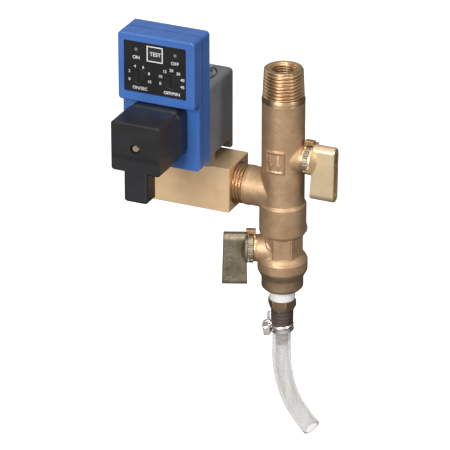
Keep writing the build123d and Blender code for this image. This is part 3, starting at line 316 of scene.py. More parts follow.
def plastic(name, dark, light, rough=(0.3, 0.42), grain=2600, depth=0.00003, strength=0.3,
            coat=0.0, level=0.5):
    """Moulded plastic with a fine grain."""
    tree, shader = nodes_of(name)
    cloud = noise_field(tree, 60, 3, 0.5)
    texture = noise_field(tree, grain, 2, 0.5)
    tree.links.new(ramp(tree, cloud, [(0.3, dark), (0.7, light)]), shader.inputs["Base Color"])
    tree.links.new(spread(tree, texture, *rough), shader.inputs["Roughness"])
    shader.inputs["Specular IOR Level"].default_value = level
    if coat:
        shader.inputs["Coat Weight"].default_value = coat
        shader.inputs["Coat Roughness"].default_value = 0.08
    bump(tree, shader, [(texture, strength, depth)])


cast_metal("cast_bronze", (0.40, 0.245, 0.130), (0.50, 0.325, 0.190), (0.60, 0.415, 0.255),
           (0.44, 0.60), 0.30)
# darker copy of the cast bronze for the foot below the ring: painted shade under the ring, not a
# different metal
cast_metal("cast_bronze_painted_shade", (0.22, 0.145, 0.085), (0.34, 0.235, 0.145), (0.46, 0.325, 0.210),
           (0.38, 0.56), 0.35, 0.35)
turned_metal("machined_brass", (0.62, 0.37, 0.17), (0.80, 0.53, 0.28), (0.24, 0.36))
turned_metal("thread_brass", (0.50, 0.32, 0.17), (0.70, 0.49, 0.29), (0.26, 0.40), 2, 2400)
turned_metal("brass", (0.62, 0.40, 0.17), (0.78, 0.54, 0.27), (0.22, 0.36), 0, 900)
turned_metal("block_brass", (0.86, 0.57, 0.31), (0.96, 0.70, 0.42), (0.34, 0.50), 2, 2600, 0.70)
cast_metal("handle_zinc", (0.64, 0.48, 0.29), (0.74, 0.57, 0.36), (0.84, 0.67, 0.44),
           (0.30, 0.42), 0.08, 0.40)
cast_metal("handle_dark", (0.085, 0.066, 0.046), (0.25, 0.205, 0.140), (0.46, 0.40, 0.29),
           (0.30, 0.54), 0.60, 0.35)
cast_metal("fitting_bronze", (0.20, 0.115, 0.065), (0.29, 0.180, 0.110), (0.38, 0.255, 0.165),
           (0.30, 0.50), 0.30)
turned_metal("gland_steel", (0.26, 0.215, 0.15), (0.42, 0.36, 0.27), (0.34, 0.50), 0, 700, 0.85)
turned_metal("ball_chrome", (0.72, 0.72, 0.74), (0.84, 0.84, 0.86), (0.05, 0.12))
plastic("ptfe", (0.62, 0.615, 0.60), (0.74, 0.735, 0.72), (0.30, 0.5), 900)
turned_metal("stainless", (0.52, 0.52, 0.51), (0.72, 0.72, 0.71), (0.16, 0.3))
turned_metal("zinc_steel", (0.50, 0.51, 0.52), (0.70, 0.71, 0.73), (0.18, 0.34), 0, 700)
plastic("seal_rubber", (0.014, 0.014, 0.014), (0.03, 0.03, 0.03), (0.6, 0.8))
plastic("coil_plastic", (0.140, 0.141, 0.143), (0.180, 0.181, 0.183), (0.40, 0.55), 1800, 0.00005,
        0.4)
turned_metal("copper", (0.50, 0.22, 0.10), (0.66, 0.32, 0.16), (0.3, 0.4))
plastic("bobbin_plastic", (0.12, 0.12, 0.12), (0.18, 0.18, 0.18))
plastic("timer_blue", (0.034, 0.108, 0.345), (0.045, 0.135, 0.400), (0.26, 0.36), 1100, 0.00002,
        0.12, 0.10)
plastic("seam_blue", (0.012, 0.030, 0.13), (0.018, 0.042, 0.17), (0.4, 0.5))
plastic("panel_black", (0.008, 0.007, 0.007), (0.016, 0.015, 0.015), (0.42, 0.55), 3000, 0.00003,
        0.3, 0.0, 0.22)
plastic("button_black", (0.008, 0.007, 0.007), (0.016, 0.015, 0.015), (0.36, 0.48))
plastic("knob_black", (0.006, 0.006, 0.007), (0.012, 0.012, 0.013), (0.24, 0.36))
plastic("ring_grey", (0.014, 0.013, 0.014), (0.026, 0.025, 0.027), (0.3, 0.4))
plastic("lamp_red", (0.13, 0.11, 0.11), (0.20, 0.17, 0.17), (0.12, 0.2))
plastic("lamp_green", (0.115, 0.13, 0.115), (0.17, 0.20, 0.17), (0.12, 0.2))
plastic("circuit_green", (0.02, 0.12, 0.05), (0.04, 0.2, 0.09))
plastic("plug_black", (0.009, 0.009, 0.010), (0.017, 0.017, 0.019), (0.26, 0.38), 1400, 0.00004,
        0.35)
plastic("insert_grey", (0.08, 0.08, 0.08), (0.13, 0.13, 0.13))
turned_metal("screw_brass", (0.66, 0.55, 0.36), (0.86, 0.76, 0.56), (0.12, 0.24), 0, 500)
plastic("print_white", (0.52, 0.51, 0.50), (0.68, 0.67, 0.66), (0.4, 0.55))
turned_metal("clip_steel", (0.84, 0.79, 0.76), (0.97, 0.92, 0.89), (0.16, 0.26), 0, 700)
plastic("nozzle_dark", (0.036, 0.024, 0.019), (0.090, 0.064, 0.050), (0.22, 0.36))

tree, shader = nodes_of("clear_hose")
haze = noise_field(tree, 260, 3, 0.5, (1, 1, 0.15))
tree.links.new(ramp(tree, haze, [(0.3, (0.64, 0.625, 0.61)), (0.7, (0.82, 0.81, 0.80))]),
               shader.inputs["Base Color"])
tree.links.new(spread(tree, haze, 0.06, 0.14), shader.inputs["Roughness"])
shader.inputs["IOR"].default_value = 1.2
shader.inputs["Transmission Weight"].default_value = 0.74
bump(tree, shader, [(haze, 0.1, 0.0002)])

slot_of = {row["node"]: row["material_slot"] for row in record["subparts"]}
special = {"solenoid_block": "block_brass", "lower_handle": "handle_dark",
           "upper_gland_nut": "gland_steel", "lower_gland_nut": "gland_steel"}
for name, obj in frame["nodes"].items():
    plain = name.split("[")[0]
    material = mats[special.get(plain, slot_of.get(plain, "stainless"))]
    obj.data.materials.clear()
    obj.data.materials.append(material)


# ------------------------------------------------------------------ sizes taken from the frame
def middle_of(node):
    """Middle of a node's box as (x, z), in mm."""
    low_corner, high_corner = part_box(node)
    return (low_corner.x + high_corner.x) / 2 / MM, (low_corner.z + high_corner.z) / 2 / MM


inlet_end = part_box("valve_body")[1].z
block_low, block_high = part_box("solenoid_block")
branch_z = (block_low.z + block_high.z) / 2
upper_z = inlet_end - 48.9 * MM
lower_z = inlet_end - 102.2 * MM
upper_stem, lower_stem = 0.0, math.radians(202.5)
tube_r, collar_r = 11.3 * MM, 12.35 * MM
tube_top = inlet_end - 15.2 * MM
collar_top = tube_top - 59.6 * MM
collar_bottom = lower_z + 9.0 * MM
octagon_bottom = collar_bottom - 11.5 * MM
foot_top = collar_bottom - 19.5 * MM
octagon_turn = math.radians(-66.0)
octagon_flat, octagon_corner = 10.55 * MM, 11.36 * MM
thread_core, shoulder_r, bore_edge_r = 9.25 * MM, 9.9 * MM, 8.5 * MM
branch_face, branch_r = -19.68 * MM, 10.53 * MM
machined_above = tube_top - 2.9 * MM


# ------------------------------------------------------------------ cast body
def sharpen(p):
    """Give a point of the softened skin its crisp shoulder, collar edge or octagon flat back."""
    r = math.hypot(p.x, p.y)
    if r < 9.0 * MM:
        return
    goal = r
    if tube_top - 2.6 * MM < p.z < tube_top + 0.5 * MM:
        goal = min(r, shoulder_r)
    branch_gap = math.hypot(p.y, p.z - branch_z) if p.x < 0 else 1.0
    if abs(p.z - collar_top) < 3.5 * MM and r < collar_r + 0.2 * MM and branch_gap > 11.3 * MM:
        t = (collar_top + 0.1 * MM - p.z) / (1.3 * MM)
        goal = tube_r + (collar_r - tube_r) * min(1.0, max(0.0, t))
    cos_stem, sin_stem = math.cos(lower_stem), math.sin(lower_stem)
    clear_of_boss = (p.x * cos_stem + p.y * sin_stem < 0
                     or math.hypot(p.x * sin_stem - p.y * cos_stem, p.z - lower_z) > 9.4 * MM)
    on_octagon = octagon_bottom + 0.1 * MM < p.z < collar_bottom - 0.15 * MM and r < 11.75 * MM
    if on_octagon and clear_of_boss:
        half_side, edge_width, edge_cut = math.pi / 8, 0.028, 0.30 * MM
        from_flat = ((math.atan2(p.y, p.x) - octagon_turn + half_side) % (2 * half_side)
                     - half_side)
        goal = min(octagon_flat / math.cos(from_flat), octagon_corner)
        if half_side - abs(from_flat) < edge_width:
            goal -= edge_cut
    p.x *= goal / r
    p.y *= goal / r


def cast_body():
    """The casting as one skin: the CAD solid with its threads turned down, plus the gate stub,
    merged, softened and roughened as sand casting leaves it."""
    bm = bmesh.new()
    bm.from_mesh(frame["nodes"]["valve_body"].data)
    for v in bm.verts:
        r = math.hypot(v.co.x, v.co.y)
        if v.co.z > tube_top + 0.02 * MM and r > bore_edge_r:
            v.co.x *= thread_core / r
            v.co.y *= thread_core / r
        dy, dz = v.co.y, v.co.z - branch_z
        q = math.hypot(dy, dz)
        if v.co.x < branch_face and bore_edge_r < q < branch_r:
            v.co.y = dy * thread_core / q
            v.co.z = branch_z + dz * thread_core / q
    # stub where the gate was ground off, on the collar: a flattened ball, sizes in mm
    out, stub_out, stub_z = heading_at(24), 12.0, -82.0
    stub_deep, stub_wide, stub_tall = 1.0, 3.2, 2.3
    stub = bmesh.ops.create_uvsphere(bm, u_segments=16, v_segments=10, radius=1.0)
    for v in stub["verts"]:
        p = v.co.copy()
        v.co = (out * (stub_out + stub_deep * p.x)
                + Vector((-out.y, out.x, 0)) * (stub_wide * p.y)) * MM
        v.co.z = (stub_z + stub_tall * p.z) * MM
    bmesh.ops.triangulate(bm, faces=bm.faces)
    bmesh.ops.recalc_face_normals(bm, faces=bm.faces)
    mesh = bpy.data.meshes.new("body_casting")
    bm.to_mesh(mesh)
    bm.free()
    obj = link("body_casting", mesh)
    skin = obj.modifiers.new("skin", "REMESH")
    skin.mode = "VOXEL"
    skin.voxel_size = 0.30 * MM
    skin.use_smooth_shade = True
    soft = obj.modifiers.new("soft", "SMOOTH")
    soft.factor, soft.iterations = 0.5, 2
    baked(obj)
    mesh = obj.data
    for v in mesh.vertices:
        sharpen(v.co)
    mesh.update()
    for v, normal in zip(mesh.vertices, [v.normal.copy() for v in mesh.vertices]):
        p = v.co
        if p.z <= machined_above:
            lump = noise.noise(p * 260) * 0.05 + noise.noise(p * 900) * 0.035
            v.co = p + normal * (lump * MM)
    mesh.update()
    mesh.materials.clear()
    for material in ("cast_bronze", "machined_brass", "cast_bronze_painted_shade"):
        mesh.materials.append(mats[material])
    skin_slot, turned_slot, painted_shade_slot = range(3)
    # the stem bosses are turned from these radii out, in mm
    bosses = ((upper_stem, upper_z, 12.1), (lower_stem, lower_z, 13.6))
    for f in mesh.polygons:
        c = f.center
        turned = c.z > machined_above or math.hypot(c.x, c.y) < 8.0 * MM
        for heading, z, reach in bosses:
            along = c.x * math.cos(heading) + c.y * math.sin(heading)
            turned = turned or (along > reach * MM and abs(c.z - z) < 11.5 * MM)
        # faces below the foot's top, with a noisy boundary, take the darker bronze copy: painted
        # shade under the ring
        in_painted_shade = c.z < foot_top + 0.6 * MM * noise.noise(c * 300)
        f.material_index = turned_slot if turned else (painted_shade_slot if in_painted_shade else skin_slot)
    mesh.shade_smooth()
    return own(obj, "root", "cast_bronze", "valve_body")


cast_body()

# threads, in mm: R 1/2 outside, G 1/4 inside, as (major radius, minor radius, pitch)
inlet_size, branch_size = (10.30, 9.20, 1.814), (10.48, 9.32, 1.814)
port_size, port_deep, port_start, port_lead_in = (6.62, 5.85, 1.337), 10.4, 0.6, 0.5
inlet_axis = frame_at((0, 0, 0), (0, 0, 1), (1, 0, 0))
branch_axis = frame_at((0, 0, branch_z), (-1, 0, 0), (0, 0, 1))
inlet_mm = inlet_end / MM
block_end = -block_low.x / MM

thread("inlet_thread", inlet_axis, inlet_mm - 15.1, inlet_mm, inlet_size, 0.7, taper=0.045)
turned_band = [(9.4, -18.1), (11.18, -18.1), (11.36, -17.9), (11.36, -17.0), (10.85, -15.2),
               (10.2, -14.9), (9.4, -14.9)]
band = lathe("inlet_shoulder", [(r * MM, inlet_end + h * MM) for r, h in turned_band], steps=144)
band.data.set_sharp_from_angle(angle=math.radians(30))
own(dressed(band, "thread_brass"), "root", "brass")
thread("inlet_port_thread", inlet_axis, inlet_mm - 13.2, inlet_mm - port_start, port_size,
       port_lead_in, inner=True)
thread("branch_thread", branch_axis, 19.7, 27.6, branch_size, 0.5)
thread("outlet_port_thread", branch_axis, block_end - port_deep, block_end - port_start,
       port_size, port_lead_in, inner=True)


# ------------------------------------------------------------------ pad on the tube
def on_tube(name, loop, inner, outer, hole=None):
    """Raised plate on the tube: a flat outline (and a hole of as many points) bent round it."""
    outlines = [loop] + ([hole] if hole else [])
    verts = []
    for r in (inner, outer):
        for outline in outlines:
            for x, z in outline:
                a = x * MM / r
                verts.append((r * math.sin(a), -r * math.cos(a), upper_z + z * MM))
    n = len(loop)
    top = n * len(outlines)
    faces = []
    for i in range(n):
        j = (i + 1) % n
        faces.append((i, j, top + j, top + i))
        if hole:
            faces.append((n + i, top + n + i, top + n + j, n + j))
            faces.append((top + i, top + j, top + n + j, top + n + i))
            faces.append((i, n + i, n + j, j))
    if not hole:
        faces.append(tuple(range(top, top + n)))
        faces.append(tuple(reversed(range(n))))
    obj = mesh_from(name, verts, faces, False)
    soft = obj.modifiers.new("soft", "BEVEL")
    soft.width, soft.segments, soft.limit_method = 0.12 * MM, 2, "ANGLE"
    baked(obj)
    obj.data.shade_smooth()
    obj.data.set_sharp_from_angle(angle=math.radians(50))
    return own(dressed(tidy(obj), "cast_bronze"), "root", "cast_bronze")


def rounded_rectangle(width, height, corner, steps=4):
    """Outline in mm about its middle."""
    loop = []
    for cx, cz, start in ((1, 1, 0), (-1, 1, 90), (-1, -1, 180), (1, -1, 270)):
        for k in range(steps + 1):
            a = math.radians(start + 90 * k / steps)
            loop.append((cx * (width / 2 - corner) + corner * math.cos(a),
                         cz * (height / 2 - corner) + corner * math.sin(a)))
    return loop


pad_top = tube_r + 0.95 * MM
pad_wide, pad_tall, line_wide = 10.6, 12.2, 0.7
on_tube("pad_frame", rounded_rectangle(pad_wide, pad_tall, 0.5), tube_r - 0.5 * MM, pad_top,
        rounded_rectangle(pad_wide - 2 * line_wide, pad_tall - 2 * line_wide, 0.4))
shaft, barb, arrow_top, arrow_tip, arrow_neck = 0.65, 1.8, 4.4, -4.5, -0.3
arrow = [(-shaft, arrow_top), (shaft, arrow_top), (shaft, arrow_neck), (barb, arrow_neck),
         (0.0, arrow_tip), (-barb, arrow_neck), (-shaft, arrow_neck)]
for name, shift in (("pad_arrow_left", -2.2), ("pad_arrow_right", 2.2)):
    on_tube(name, [(shift + x, z) for x, z in arrow], tube_r, pad_top)


# ------------------------------------------------------------------ timer print and seams
def words(name, text, x, z, size, y, body="root", squeeze=1.0):
    """Raised print: text centred at x, z on a face at y, that looks towards -Y."""
    curve = bpy.data.curves.new(name, "FONT")
    curve.body = text
    curve.size = size * MM
    curve.align_x, curve.align_y = "CENTER", "CENTER"
    curve.extrude = 0.03 * MM
    curve.offset = 0.04 * MM
    curve.resolution_u = 4
    holder = bpy.data.objects.new(name, curve)
    bpy.context.scene.collection.objects.link(holder)
    bpy.context.view_layer.update()
    mesh = bpy.data.meshes.new_from_object(holder)
    bpy.data.objects.remove(holder)
    mesh.transform(Matrix(((squeeze, 0, 0, x * MM), (0, 0, -1, y - 0.02 * MM), (0, 1, 0, z * MM),
                           (0, 0, 0, 1))))
    own(dressed(link(name, mesh), "print_white"), body)


def frame_line(name, x, z, width, height, line, y, body):
    """Rectangular printed line with square corners."""
    outlines = []
    for inset in (0.0, line):
        w, h = width / 2 - inset, height / 2 - inset
        outlines.append([(x - w, z - h), (x + w, z - h), (x + w, z + h), (x - w, z + h)])
    verts = []
    for level in (y + 0.02 * MM, y - 0.05 * MM):
        for outline in outlines:
            verts += [(px * MM, level, pz * MM) for px, pz in outline]
    faces = []
    for i in range(4):
        j = (i + 1) % 4
        faces.append((8 + i, 8 + j, 12 + j, 12 + i))
        faces.append((i, 4 + i, 4 + j, j))
        faces.append((i, j, 8 + j, 8 + i))
        faces.append((4 + i, 12 + i, 12 + j, 4 + j))
    own(dressed(tidy(mesh_from(name, verts, faces, False)), "print_white"), body)


def dial(name, x, z, values, first, last, radius):
    """Numbers round a knob, from one angle to another, clockwise from straight up."""
    for i, value in enumerate(values):
        a = math.radians(first + (last - first) * i / (len(values) - 1))
        words(f"{name}_{value}", value, x + radius * math.sin(a), z + radius * math.cos(a) * 0.96,
              digit_size, panel_y)


panel_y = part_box("face_panel")[0].y
button_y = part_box("test_button")[0].y
digit_size = 2.208
panel_x = middle_of("face_panel")[0]
on_x, knob_z = middle_of("on_time_knob")
off_x = middle_of("off_time_knob")[0]
on_led_x, led_z = middle_of("on_led")
off_led_x = middle_of("off_led")[0]
button_z = middle_of("test_button")[1]

dial("on_scale", on_x, knob_z, ["0", "2", "4", "6", "8", "10"], -113, 111, 6.0)
dial("off_scale", off_x, knob_z, ["0", "10", "15", "20", "30", "40", "45"], -107, 108, 6.5)
words("word_on", "ON", on_led_x + 0.2, led_z - 4.2, 2.5, panel_y)
words("word_off", "OFF", off_led_x + 0.1, led_z - 4.3, 2.5, panel_y)
words("unit_on", "ON/SEC", on_x + 0.4, knob_z - 6.4, 2.35, panel_y)
words("unit_off", "OFF/MIN", off_x + 0.2, knob_z - 6.4, 2.35, panel_y)
frame_line("button_frame", panel_x, button_z, 9.0, 8.6, 0.62, button_y, "test_button")
words("word_test", "TEST", panel_x + 0.3, button_z, 2.95, button_y, "test_button", 0.98)
ring_outline = [(3.78, -0.05), (3.78, 0.10), (3.9, 0.16), (4.1, 0.16), (4.22, 0.08),
                (4.22, -0.05)]
for name, x in (("on_dial_ring", on_x), ("off_dial_ring", off_x)):
    spot = frame_at((x * MM, panel_y, knob_z * MM), (0, -1, 0), (1, 0, 0))
    ring = lathe(name, [(r * MM, h * MM) for r, h in ring_outline], spot)
    own(dressed(ring, "ring_grey"), "root")
mark_corners = ((-0.16, 1.7), (0.16, 1.7), (0.16, 3.1), (-0.16, 3.1))
box_faces = [(0, 1, 2, 3), (4, 5, 6, 7), (0, 1, 5, 4), (1, 2, 6, 5), (2, 3, 7, 6), (3, 0, 4, 7)]
for name, x in (("on_time_knob", on_x), ("off_time_knob", off_x)):
    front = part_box(name)[0].y
    verts = [((x + dx) * MM, front - dy * MM, (knob_z + dz) * MM)
             for dy in (-0.02, 0.03) for dx, dz in mark_corners]
    mark = mesh_from(name + "_mark", verts, box_faces, False)
    own(dressed(tidy(mark), "ring_grey"), name)


def band_round(name, low_corner, high_corner, y, width, corner, proud, material):
    """Thin band round a box with rounded corners, at a depth y."""
    x0, x1 = low_corner.x - proud, high_corner.x + proud
    z0, z1 = low_corner.z - proud, high_corner.z + proud
    thickness, steps = 0.10 * MM, 8
    loop = []
    for cx, cz, start in ((x1 - corner, z1 - corner, 0), (x0 + corner, z1 - corner, 90),
                          (x0 + corner, z0 + corner, 180), (x1 - corner, z0 + corner, 270)):
        for k in range(steps + 1):
            a = math.radians(start + 90 * k / steps)
            loop.append((cx + corner * math.cos(a), cz + corner * math.sin(a)))
    n = len(loop)
    middle_x, middle_z = (x0 + x1) / 2, (z0 + z1) / 2
    verts = []
    for level in (y - width / 2, y + width / 2):
        for shrink in (0.0, thickness):
            for x, z in loop:
                verts.append((x - math.copysign(shrink, x - middle_x), level,
                              z - math.copysign(shrink, z - middle_z)))
    faces = []
    for i in range(n):
        j = (i + 1) % n
        faces.append((i, j, 2 * n + j, 2 * n + i))
        faces.append((n + i, 3 * n + i, 3 * n + j, n + j))
        faces.append((i, n + i, n + j, j))
        faces.append((2 * n + i, 2 * n + j, 3 * n + j, 3 * n + i))
    own(dressed(tidy(mesh_from(name, verts, faces, False)), material), "root")


base_low, base_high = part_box("timer_base")
band_round("timer_seam", base_low, base_high, base_low.y, 0.42 * MM, 2.0 * MM, 0.03 * MM,
           "seam_blue")

# ------------------------------------------------------------------ drain hose
hose_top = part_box("drain_hose")[1].z
hose_radius, bore_radius = 5.0 * MM, 3.5 * MM
heading = heading_at(24.3)
# the hose's line as (out along the heading, down from its top), in mm
route = [(0, 0), (0, 15), (-0.35, 30.5), (1.9, 45.5), (7.3, 59.5), (16.0, 71.6)]
points = [heading * (out * MM) + Vector((0, 0, hose_top - drop * MM)) for out, drop in route]

curve = bpy.data.curves.new("hose_line", "CURVE")
curve.dimensions = "3D"
curve.resolution_u = 24
line = curve.splines.new("NURBS")
line.points.add(len(points) - 1)
for spot, p in zip(line.points, points):
    spot.co = (*p, 1.0)
line.order_u = 3
line.use_endpoint_u = True
carrier = bpy.data.objects.new("hose_line", curve)
bpy.context.scene.collection.objects.link(carrier)
bpy.context.view_layer.update()
sampled = bpy.data.meshes.new_from_object(carrier)
path = [v.co.copy() for v in sampled.vertices]
bpy.data.objects.remove(carrier)


def tube_along(name, path, outer, inner, cols=48):
    """Open tube: outer wall, inner wall and the two cut ends."""
    tangents = [(path[min(i + 1, len(path) - 1)] - path[max(i - 1, 0)]).normalized()
                for i in range(len(path))]
    side = Vector((0, 1, 0))
    side = (side - tangents[0] * side.dot(tangents[0])).normalized()
    verts = []
    for p, t in zip(path, tangents):
        side = (side - t * side.dot(t)).normalized()
        other = t.cross(side)
        for r in (outer, inner):
            for k in range(cols):
                a = 2 * math.pi * k / cols
                verts.append(p + side * (r * math.cos(a)) + other * (r * math.sin(a)))
    faces = []
    n = len(path)
    for i in range(n - 1):
        for w in (0, 1):
            for k in range(cols):
                m = (k + 1) % cols
                a, b = (2 * i + w) * cols, (2 * (i + 1) + w) * cols
                faces.append((a + k, a + m, b + m, b + k))
    for i in (0, n - 1):
        a, b = 2 * i * cols, (2 * i + 1) * cols
        for k in range(cols):
            m = (k + 1) % cols
            faces.append((a + k, a + m, b + m, b + k))
    return tidy(mesh_from(name, verts, faces))


hose = tube_along("hose", path, hose_radius, bore_radius)
hose.data.materials.append(mats["clear_hose"])
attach(hose, "root")
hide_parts("drain_hose")


# ------------------------------------------------------------------ tape, fitting and clamp
def ring_of(radius_at, height, cols):
    """Ring of points about z: radius_at gives the radius at an angle."""
    angles = [2 * math.pi * k / cols for k in range(cols)]
    return [(radius_at(a) * math.cos(a), radius_at(a) * math.sin(a), height) for a in angles]


def hexagon(flat, angle):
    """Radius of the hexagon's outline at an angle."""
    return flat / math.cos((angle - hex_turn) % (math.pi / 3) - math.pi / 6)


tape_low, tape_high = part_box("ptfe_tape")
tape_inner = 6.58 * MM
wrap = []
for i in range(33):
    t = i / 32
    ridge = 0.16 * abs(math.sin(math.pi * 5 * t)) + 0.05 * noise.noise(Vector((t * 9, 3, 1)))
    wrap.append(((6.70 + ridge) * MM, tape_low.z + (tape_high.z - tape_low.z) * t))
tape = lathe("tape_wraps", [(tape_inner, tape_low.z)] + wrap + [(tape_inner, tape_high.z)],
             steps=72)
for v in tape.data.vertices:
    if math.hypot(v.co.x, v.co.y) > 6.6 * MM and tape_low.z < v.co.z < tape_high.z:
        v.co.z += 0.22 * MM * math.sin(math.atan2(v.co.y, v.co.x) + 1.0)
own(dressed(tape, "ptfe"), "root", "ptfe", "ptfe_tape")

# barbed fitting: rings from the hexagon down, along the barbs, up the bore and back
tail_low, tail_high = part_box("hose_tail")
hex_high, hex_low = tape_low.z, hose_top
hex_tall = hex_high - hex_low
hex_flat, hex_turn, cols = 6.6 * MM, math.radians(10), 144
barbs, barb_pitch = 8, 2.5 * MM
verts = []
for h, part, corner in ((hex_high, 1.0, 7.3 * MM), (hex_high - 0.4 * MM, 1.0, 7.7 * MM),
                        (hex_high - 0.58 * hex_tall, 1.0, 7.7 * MM),
                        (hex_high - 0.70 * hex_tall, 0.99, 7.4 * MM), (hex_low, 0.95, 6.6 * MM)):
    verts += ring_of(lambda a: min(hexagon(hex_flat * part, a), corner), h, cols)
profile = [(3.45, hex_low)]
for barb in range(barbs):
    crest = hex_low - barb * barb_pitch
    profile += [(2.9, crest - 0.02 * MM), (3.6, crest - 0.5 * MM), (3.1, crest - 2.4 * MM)]
profile += [(3.25, tail_low.z), (2.4, tail_low.z), (2.4, tail_high.z), (6.45, tail_high.z),
            (6.45, hex_high)]
for r, h in profile:
    verts += ring_of(lambda a: r * MM, h, cols)
faces = []
rings = len(verts) // cols
for i in range(rings):
    j = (i + 1) % rings
    for k in range(cols):
        m = (k + 1) % cols
        faces.append((i * cols + k, i * cols + m, j * cols + m, j * cols + k))
fitting = tidy(mesh_from("barbed_fitting", verts, faces))
fitting.data.set_sharp_from_angle(angle=math.radians(28))
own(dressed(fitting, "fitting_bronze"), "root", "brass", "hose_tail")

# worm-drive clip: strap with a pressed groove, its housing, its screw and its free end
clip_drop, clip_tilt, clip_side = 11.2 * MM, math.radians(-7.0), heading_at(196)
clip_axis = frame_at(Vector((0, 0, hex_low - clip_drop)),
                     Vector((0, 0, 1)) - clip_side * math.tan(clip_tilt), clip_side)
strap_outline = [(5.0, -2.1), (5.95, -2.1), (6.15, -1.9), (6.1, -0.3), (5.75, -0.1),
                 (5.75, 0.5), (6.2, 0.65), (6.35, 0.9), (6.2, 1.7), (5.9, 2.0), (5.0, 2.0)]
strap = lathe("clamp_strap", [(r * MM, h * MM) for r, h in strap_outline], clip_axis)
strap.data.set_sharp_from_angle(angle=math.radians(40))
own(dressed(strap, "clip_steel"), "root", "stainless", "clamp_band")

box_size, box_edge = Vector((3.8, 6.4, 5.4)) * MM, 0.9 * MM
box_at = clip_axis @ Matrix.Translation((8.1 * MM, 0, -0.9 * MM))
bm = bmesh.new()
bmesh.ops.create_cube(bm, size=1.0)
bmesh.ops.scale(bm, vec=box_size, verts=bm.verts)
bmesh.ops.bevel(bm, geom=bm.edges, offset=box_edge, segments=3, affect="EDGES", profile=0.6)
mesh = bpy.data.meshes.new("clamp_box")
bm.to_mesh(mesh)
bm.free()
clamp_box = place(link("clamp_box", mesh), box_at)
mesh.shade_smooth()
mesh.set_sharp_from_angle(angle=math.radians(40))
own(dressed(clamp_box, "clip_steel"), "root", "stainless", "clamp_housing")

worm = frame_at(box_at @ Vector((0.3 * MM, -5.2 * MM, 0)), box_at.to_3x3() @ Vector((0, -1, 0)),
                (0, 0, 1))
screw_outline = [(0.0, -8.6), (1.45, -8.6), (1.45, -2.4), (1.9, -2.2), (2.9, -2.2),
                 (3.0, -1.9), (3.0, 0.0), (2.6, 0.45), (0.6, 0.5), (0.5, 0.0), (0.0, 0.0)]
screw = lathe("clamp_screw_head", [(r * MM, h * MM) for r, h in screw_outline], worm, 48,
              closed=False)
screw.data.set_sharp_from_angle(angle=math.radians(40))
own(dressed(screw, "clip_steel"), "root", "zinc_steel", "clamp_screw")

# the strap's free end, bent up: (out, height) in mm, four points at each
end_path = [(6.1, 2.0), (6.6, 3.0), (6.9, 4.6), (6.7, 6.4), (6.3, 8.2)]
verts = [clip_axis @ Vector(((out + thick) * MM, (across - 1.2) * MM, height * MM))
         for out, height in end_path for across in (-1.0, 1.0) for thick in (-0.5, 0.7)]
faces = [(0, 1, 3, 2)]
for i in range(len(end_path) - 1):
    b0, b1 = 4 * i, 4 * (i + 1)
    faces += [(b0, b0 + 2, b1 + 2, b1), (b0 + 1, b1 + 1, b1 + 3, b0 + 3),
              (b0, b1, b1 + 1, b0 + 1), (b0 + 2, b0 + 3, b1 + 3, b1 + 2)]
last = len(verts) - 4
faces.append((last, last + 2, last + 3, last + 1))
free_end = tidy(mesh_from("clamp_free_end", verts, faces, False))
own(dressed(free_end, "clip_steel"), "root", "stainless")

# dark ribbed shank of the fitting, seen through the hose's end above the clamp
ribs = 26
grip_top, grip_low, grip_inner = hex_low - 0.1 * MM, hex_low - 10.6 * MM, 5.05 * MM
sleeve = []
for i in range(ribs + 1):
    t = i / ribs
    groove = (0.0, 0.0, 0.0, 0.12, 0.28)[i % 5]
    sleeve.append(((6.05 - 0.15 * t - groove) * MM, grip_top + (grip_low - grip_top) * t))
shank = lathe("hose_grip", [(grip_inner, grip_top)] + sleeve + [(grip_inner, grip_low)], steps=72)
own(dressed(shank, "nozzle_dark"), "root")

# return spring, a copy of the CAD spring
spring = tidy(link("return_spring", frame["nodes"]["plunger_spring"].data.copy()))
own(dressed(spring, "stainless"), "root", "stainless", "plunger_spring")
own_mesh(spring)

# ------------------------------------------------------------------ floor and light
floor_z = -0.45
floor = mesh_from("floor", [(-6, -6, floor_z), (6, -6, floor_z), (6, 8, floor_z), (-6, 8, floor_z)],
                  [(0, 1, 2, 3)], False)
tree, shader = nodes_of("floor_white")
tree.links.new(ramp(tree, noise_field(tree, 3, 2), [(0.3, (0.92,) * 3), (0.7, (0.95,) * 3)]),
               shader.inputs["Base Color"])
shader.inputs["Roughness"].default_value = 0.9
shader.inputs["Emission Color"].default_value = (1, 1, 1, 1)
shader.inputs["Emission Strength"].default_value = 0.45
floor.data.materials.append(mats["floor_white"])
floor.visible_diffuse = False
floor.visible_glossy = False


def lamp(name, where, size, power):
    """Area light, aimed at the middle of the object."""
    data = bpy.data.lights.new(name, "AREA")
    data.shape, data.size, data.size_y = "RECTANGLE", *size
    data.energy = power
    obj = bpy.data.objects.new(name, data)
    bpy.context.scene.collection.objects.link(obj)
    direction = (Vector((0, 0, -0.06)) - Vector(where)).normalized()
    obj.rotation_euler = direction.to_track_quat("-Z", "Y").to_euler()
    obj.location = where


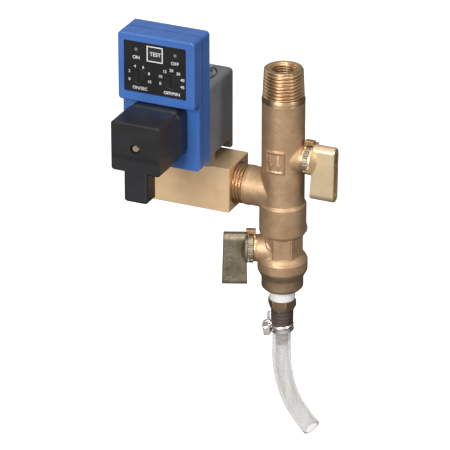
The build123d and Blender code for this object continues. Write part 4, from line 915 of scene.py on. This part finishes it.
lamp("key", (-0.15, -1.9, 0.75), (0.6, 1.1), 33)
lamp("fill", (1.9, -0.6, 0.7), (0.35, 1.2), 12)
lamp("top", (0.1, -0.3, 1.8), (1.0, 1.0), 10)
lamp("rim", (-1.6, 0.6, 0.9), (0.5, 1.0), 2)

# white for the camera; for the object grey by height and by facing, as the photograph's room was
world = bpy.data.worlds.new("world")
bpy.context.scene.world = world
world.use_nodes = True
sky = world.node_tree
coord = add(sky, "ShaderNodeTexCoord")
split = add(sky, "ShaderNodeSeparateXYZ")
facing = add(sky, "ShaderNodeVectorMath", operation="DOT_PRODUCT")
facing.inputs[1].default_value = (0.397, -0.918, 0.0)
together = add(sky, "ShaderNodeMath", operation="ADD")
pick = add(sky, "ShaderNodeMix", data_type="RGBA")
sky.links.new(coord.outputs["Generated"], split.inputs["Vector"])
sky.links.new(coord.outputs["Generated"], facing.inputs[0])


def graded(source, stops):
    """Grey level by pieces: (input, output) pairs."""
    node = add(sky, "ShaderNodeFloatCurve")
    points = node.mapping.curves[0].points
    node.mapping.use_clip = False
    points[0].location = ((stops[0][0] + 1) / 2, stops[0][1])
    points[1].location = ((stops[-1][0] + 1) / 2, stops[-1][1])
    for x, y in stops[1:-1]:
        points.new((x + 1) / 2, y)
    node.mapping.update()
    sky.links.new(spread(sky, source, 0.0, 1.0, -1.0, 1.0), node.inputs["Value"])
    return node.outputs["Value"]


by_height = [(-1.0, 0.10), (-0.2, 0.08), (0.3, 0.26), (1.0, 0.72)]
by_facing = [(-1.0, 0.06), (0.0, 0.05), (0.6, 0.34), (1.0, 0.62)]
sky.links.new(graded(split.outputs["Z"], by_height), together.inputs[0])
sky.links.new(graded(facing.outputs["Value"], by_facing), together.inputs[1])
sky.links.new(add(sky, "ShaderNodeLightPath").outputs["Is Camera Ray"], pick.inputs["Factor"])
sky.links.new(together.outputs["Value"], pick.inputs["A"])
pick.inputs["B"].default_value = (1.1, 1.1, 1.1, 1)
sky.links.new(pick.outputs["Result"], sky.nodes["Background"].inputs["Color"])
sky.nodes["Background"].inputs["Strength"].default_value = 0.95
bpy.context.scene.view_settings.view_transform = "Standard"
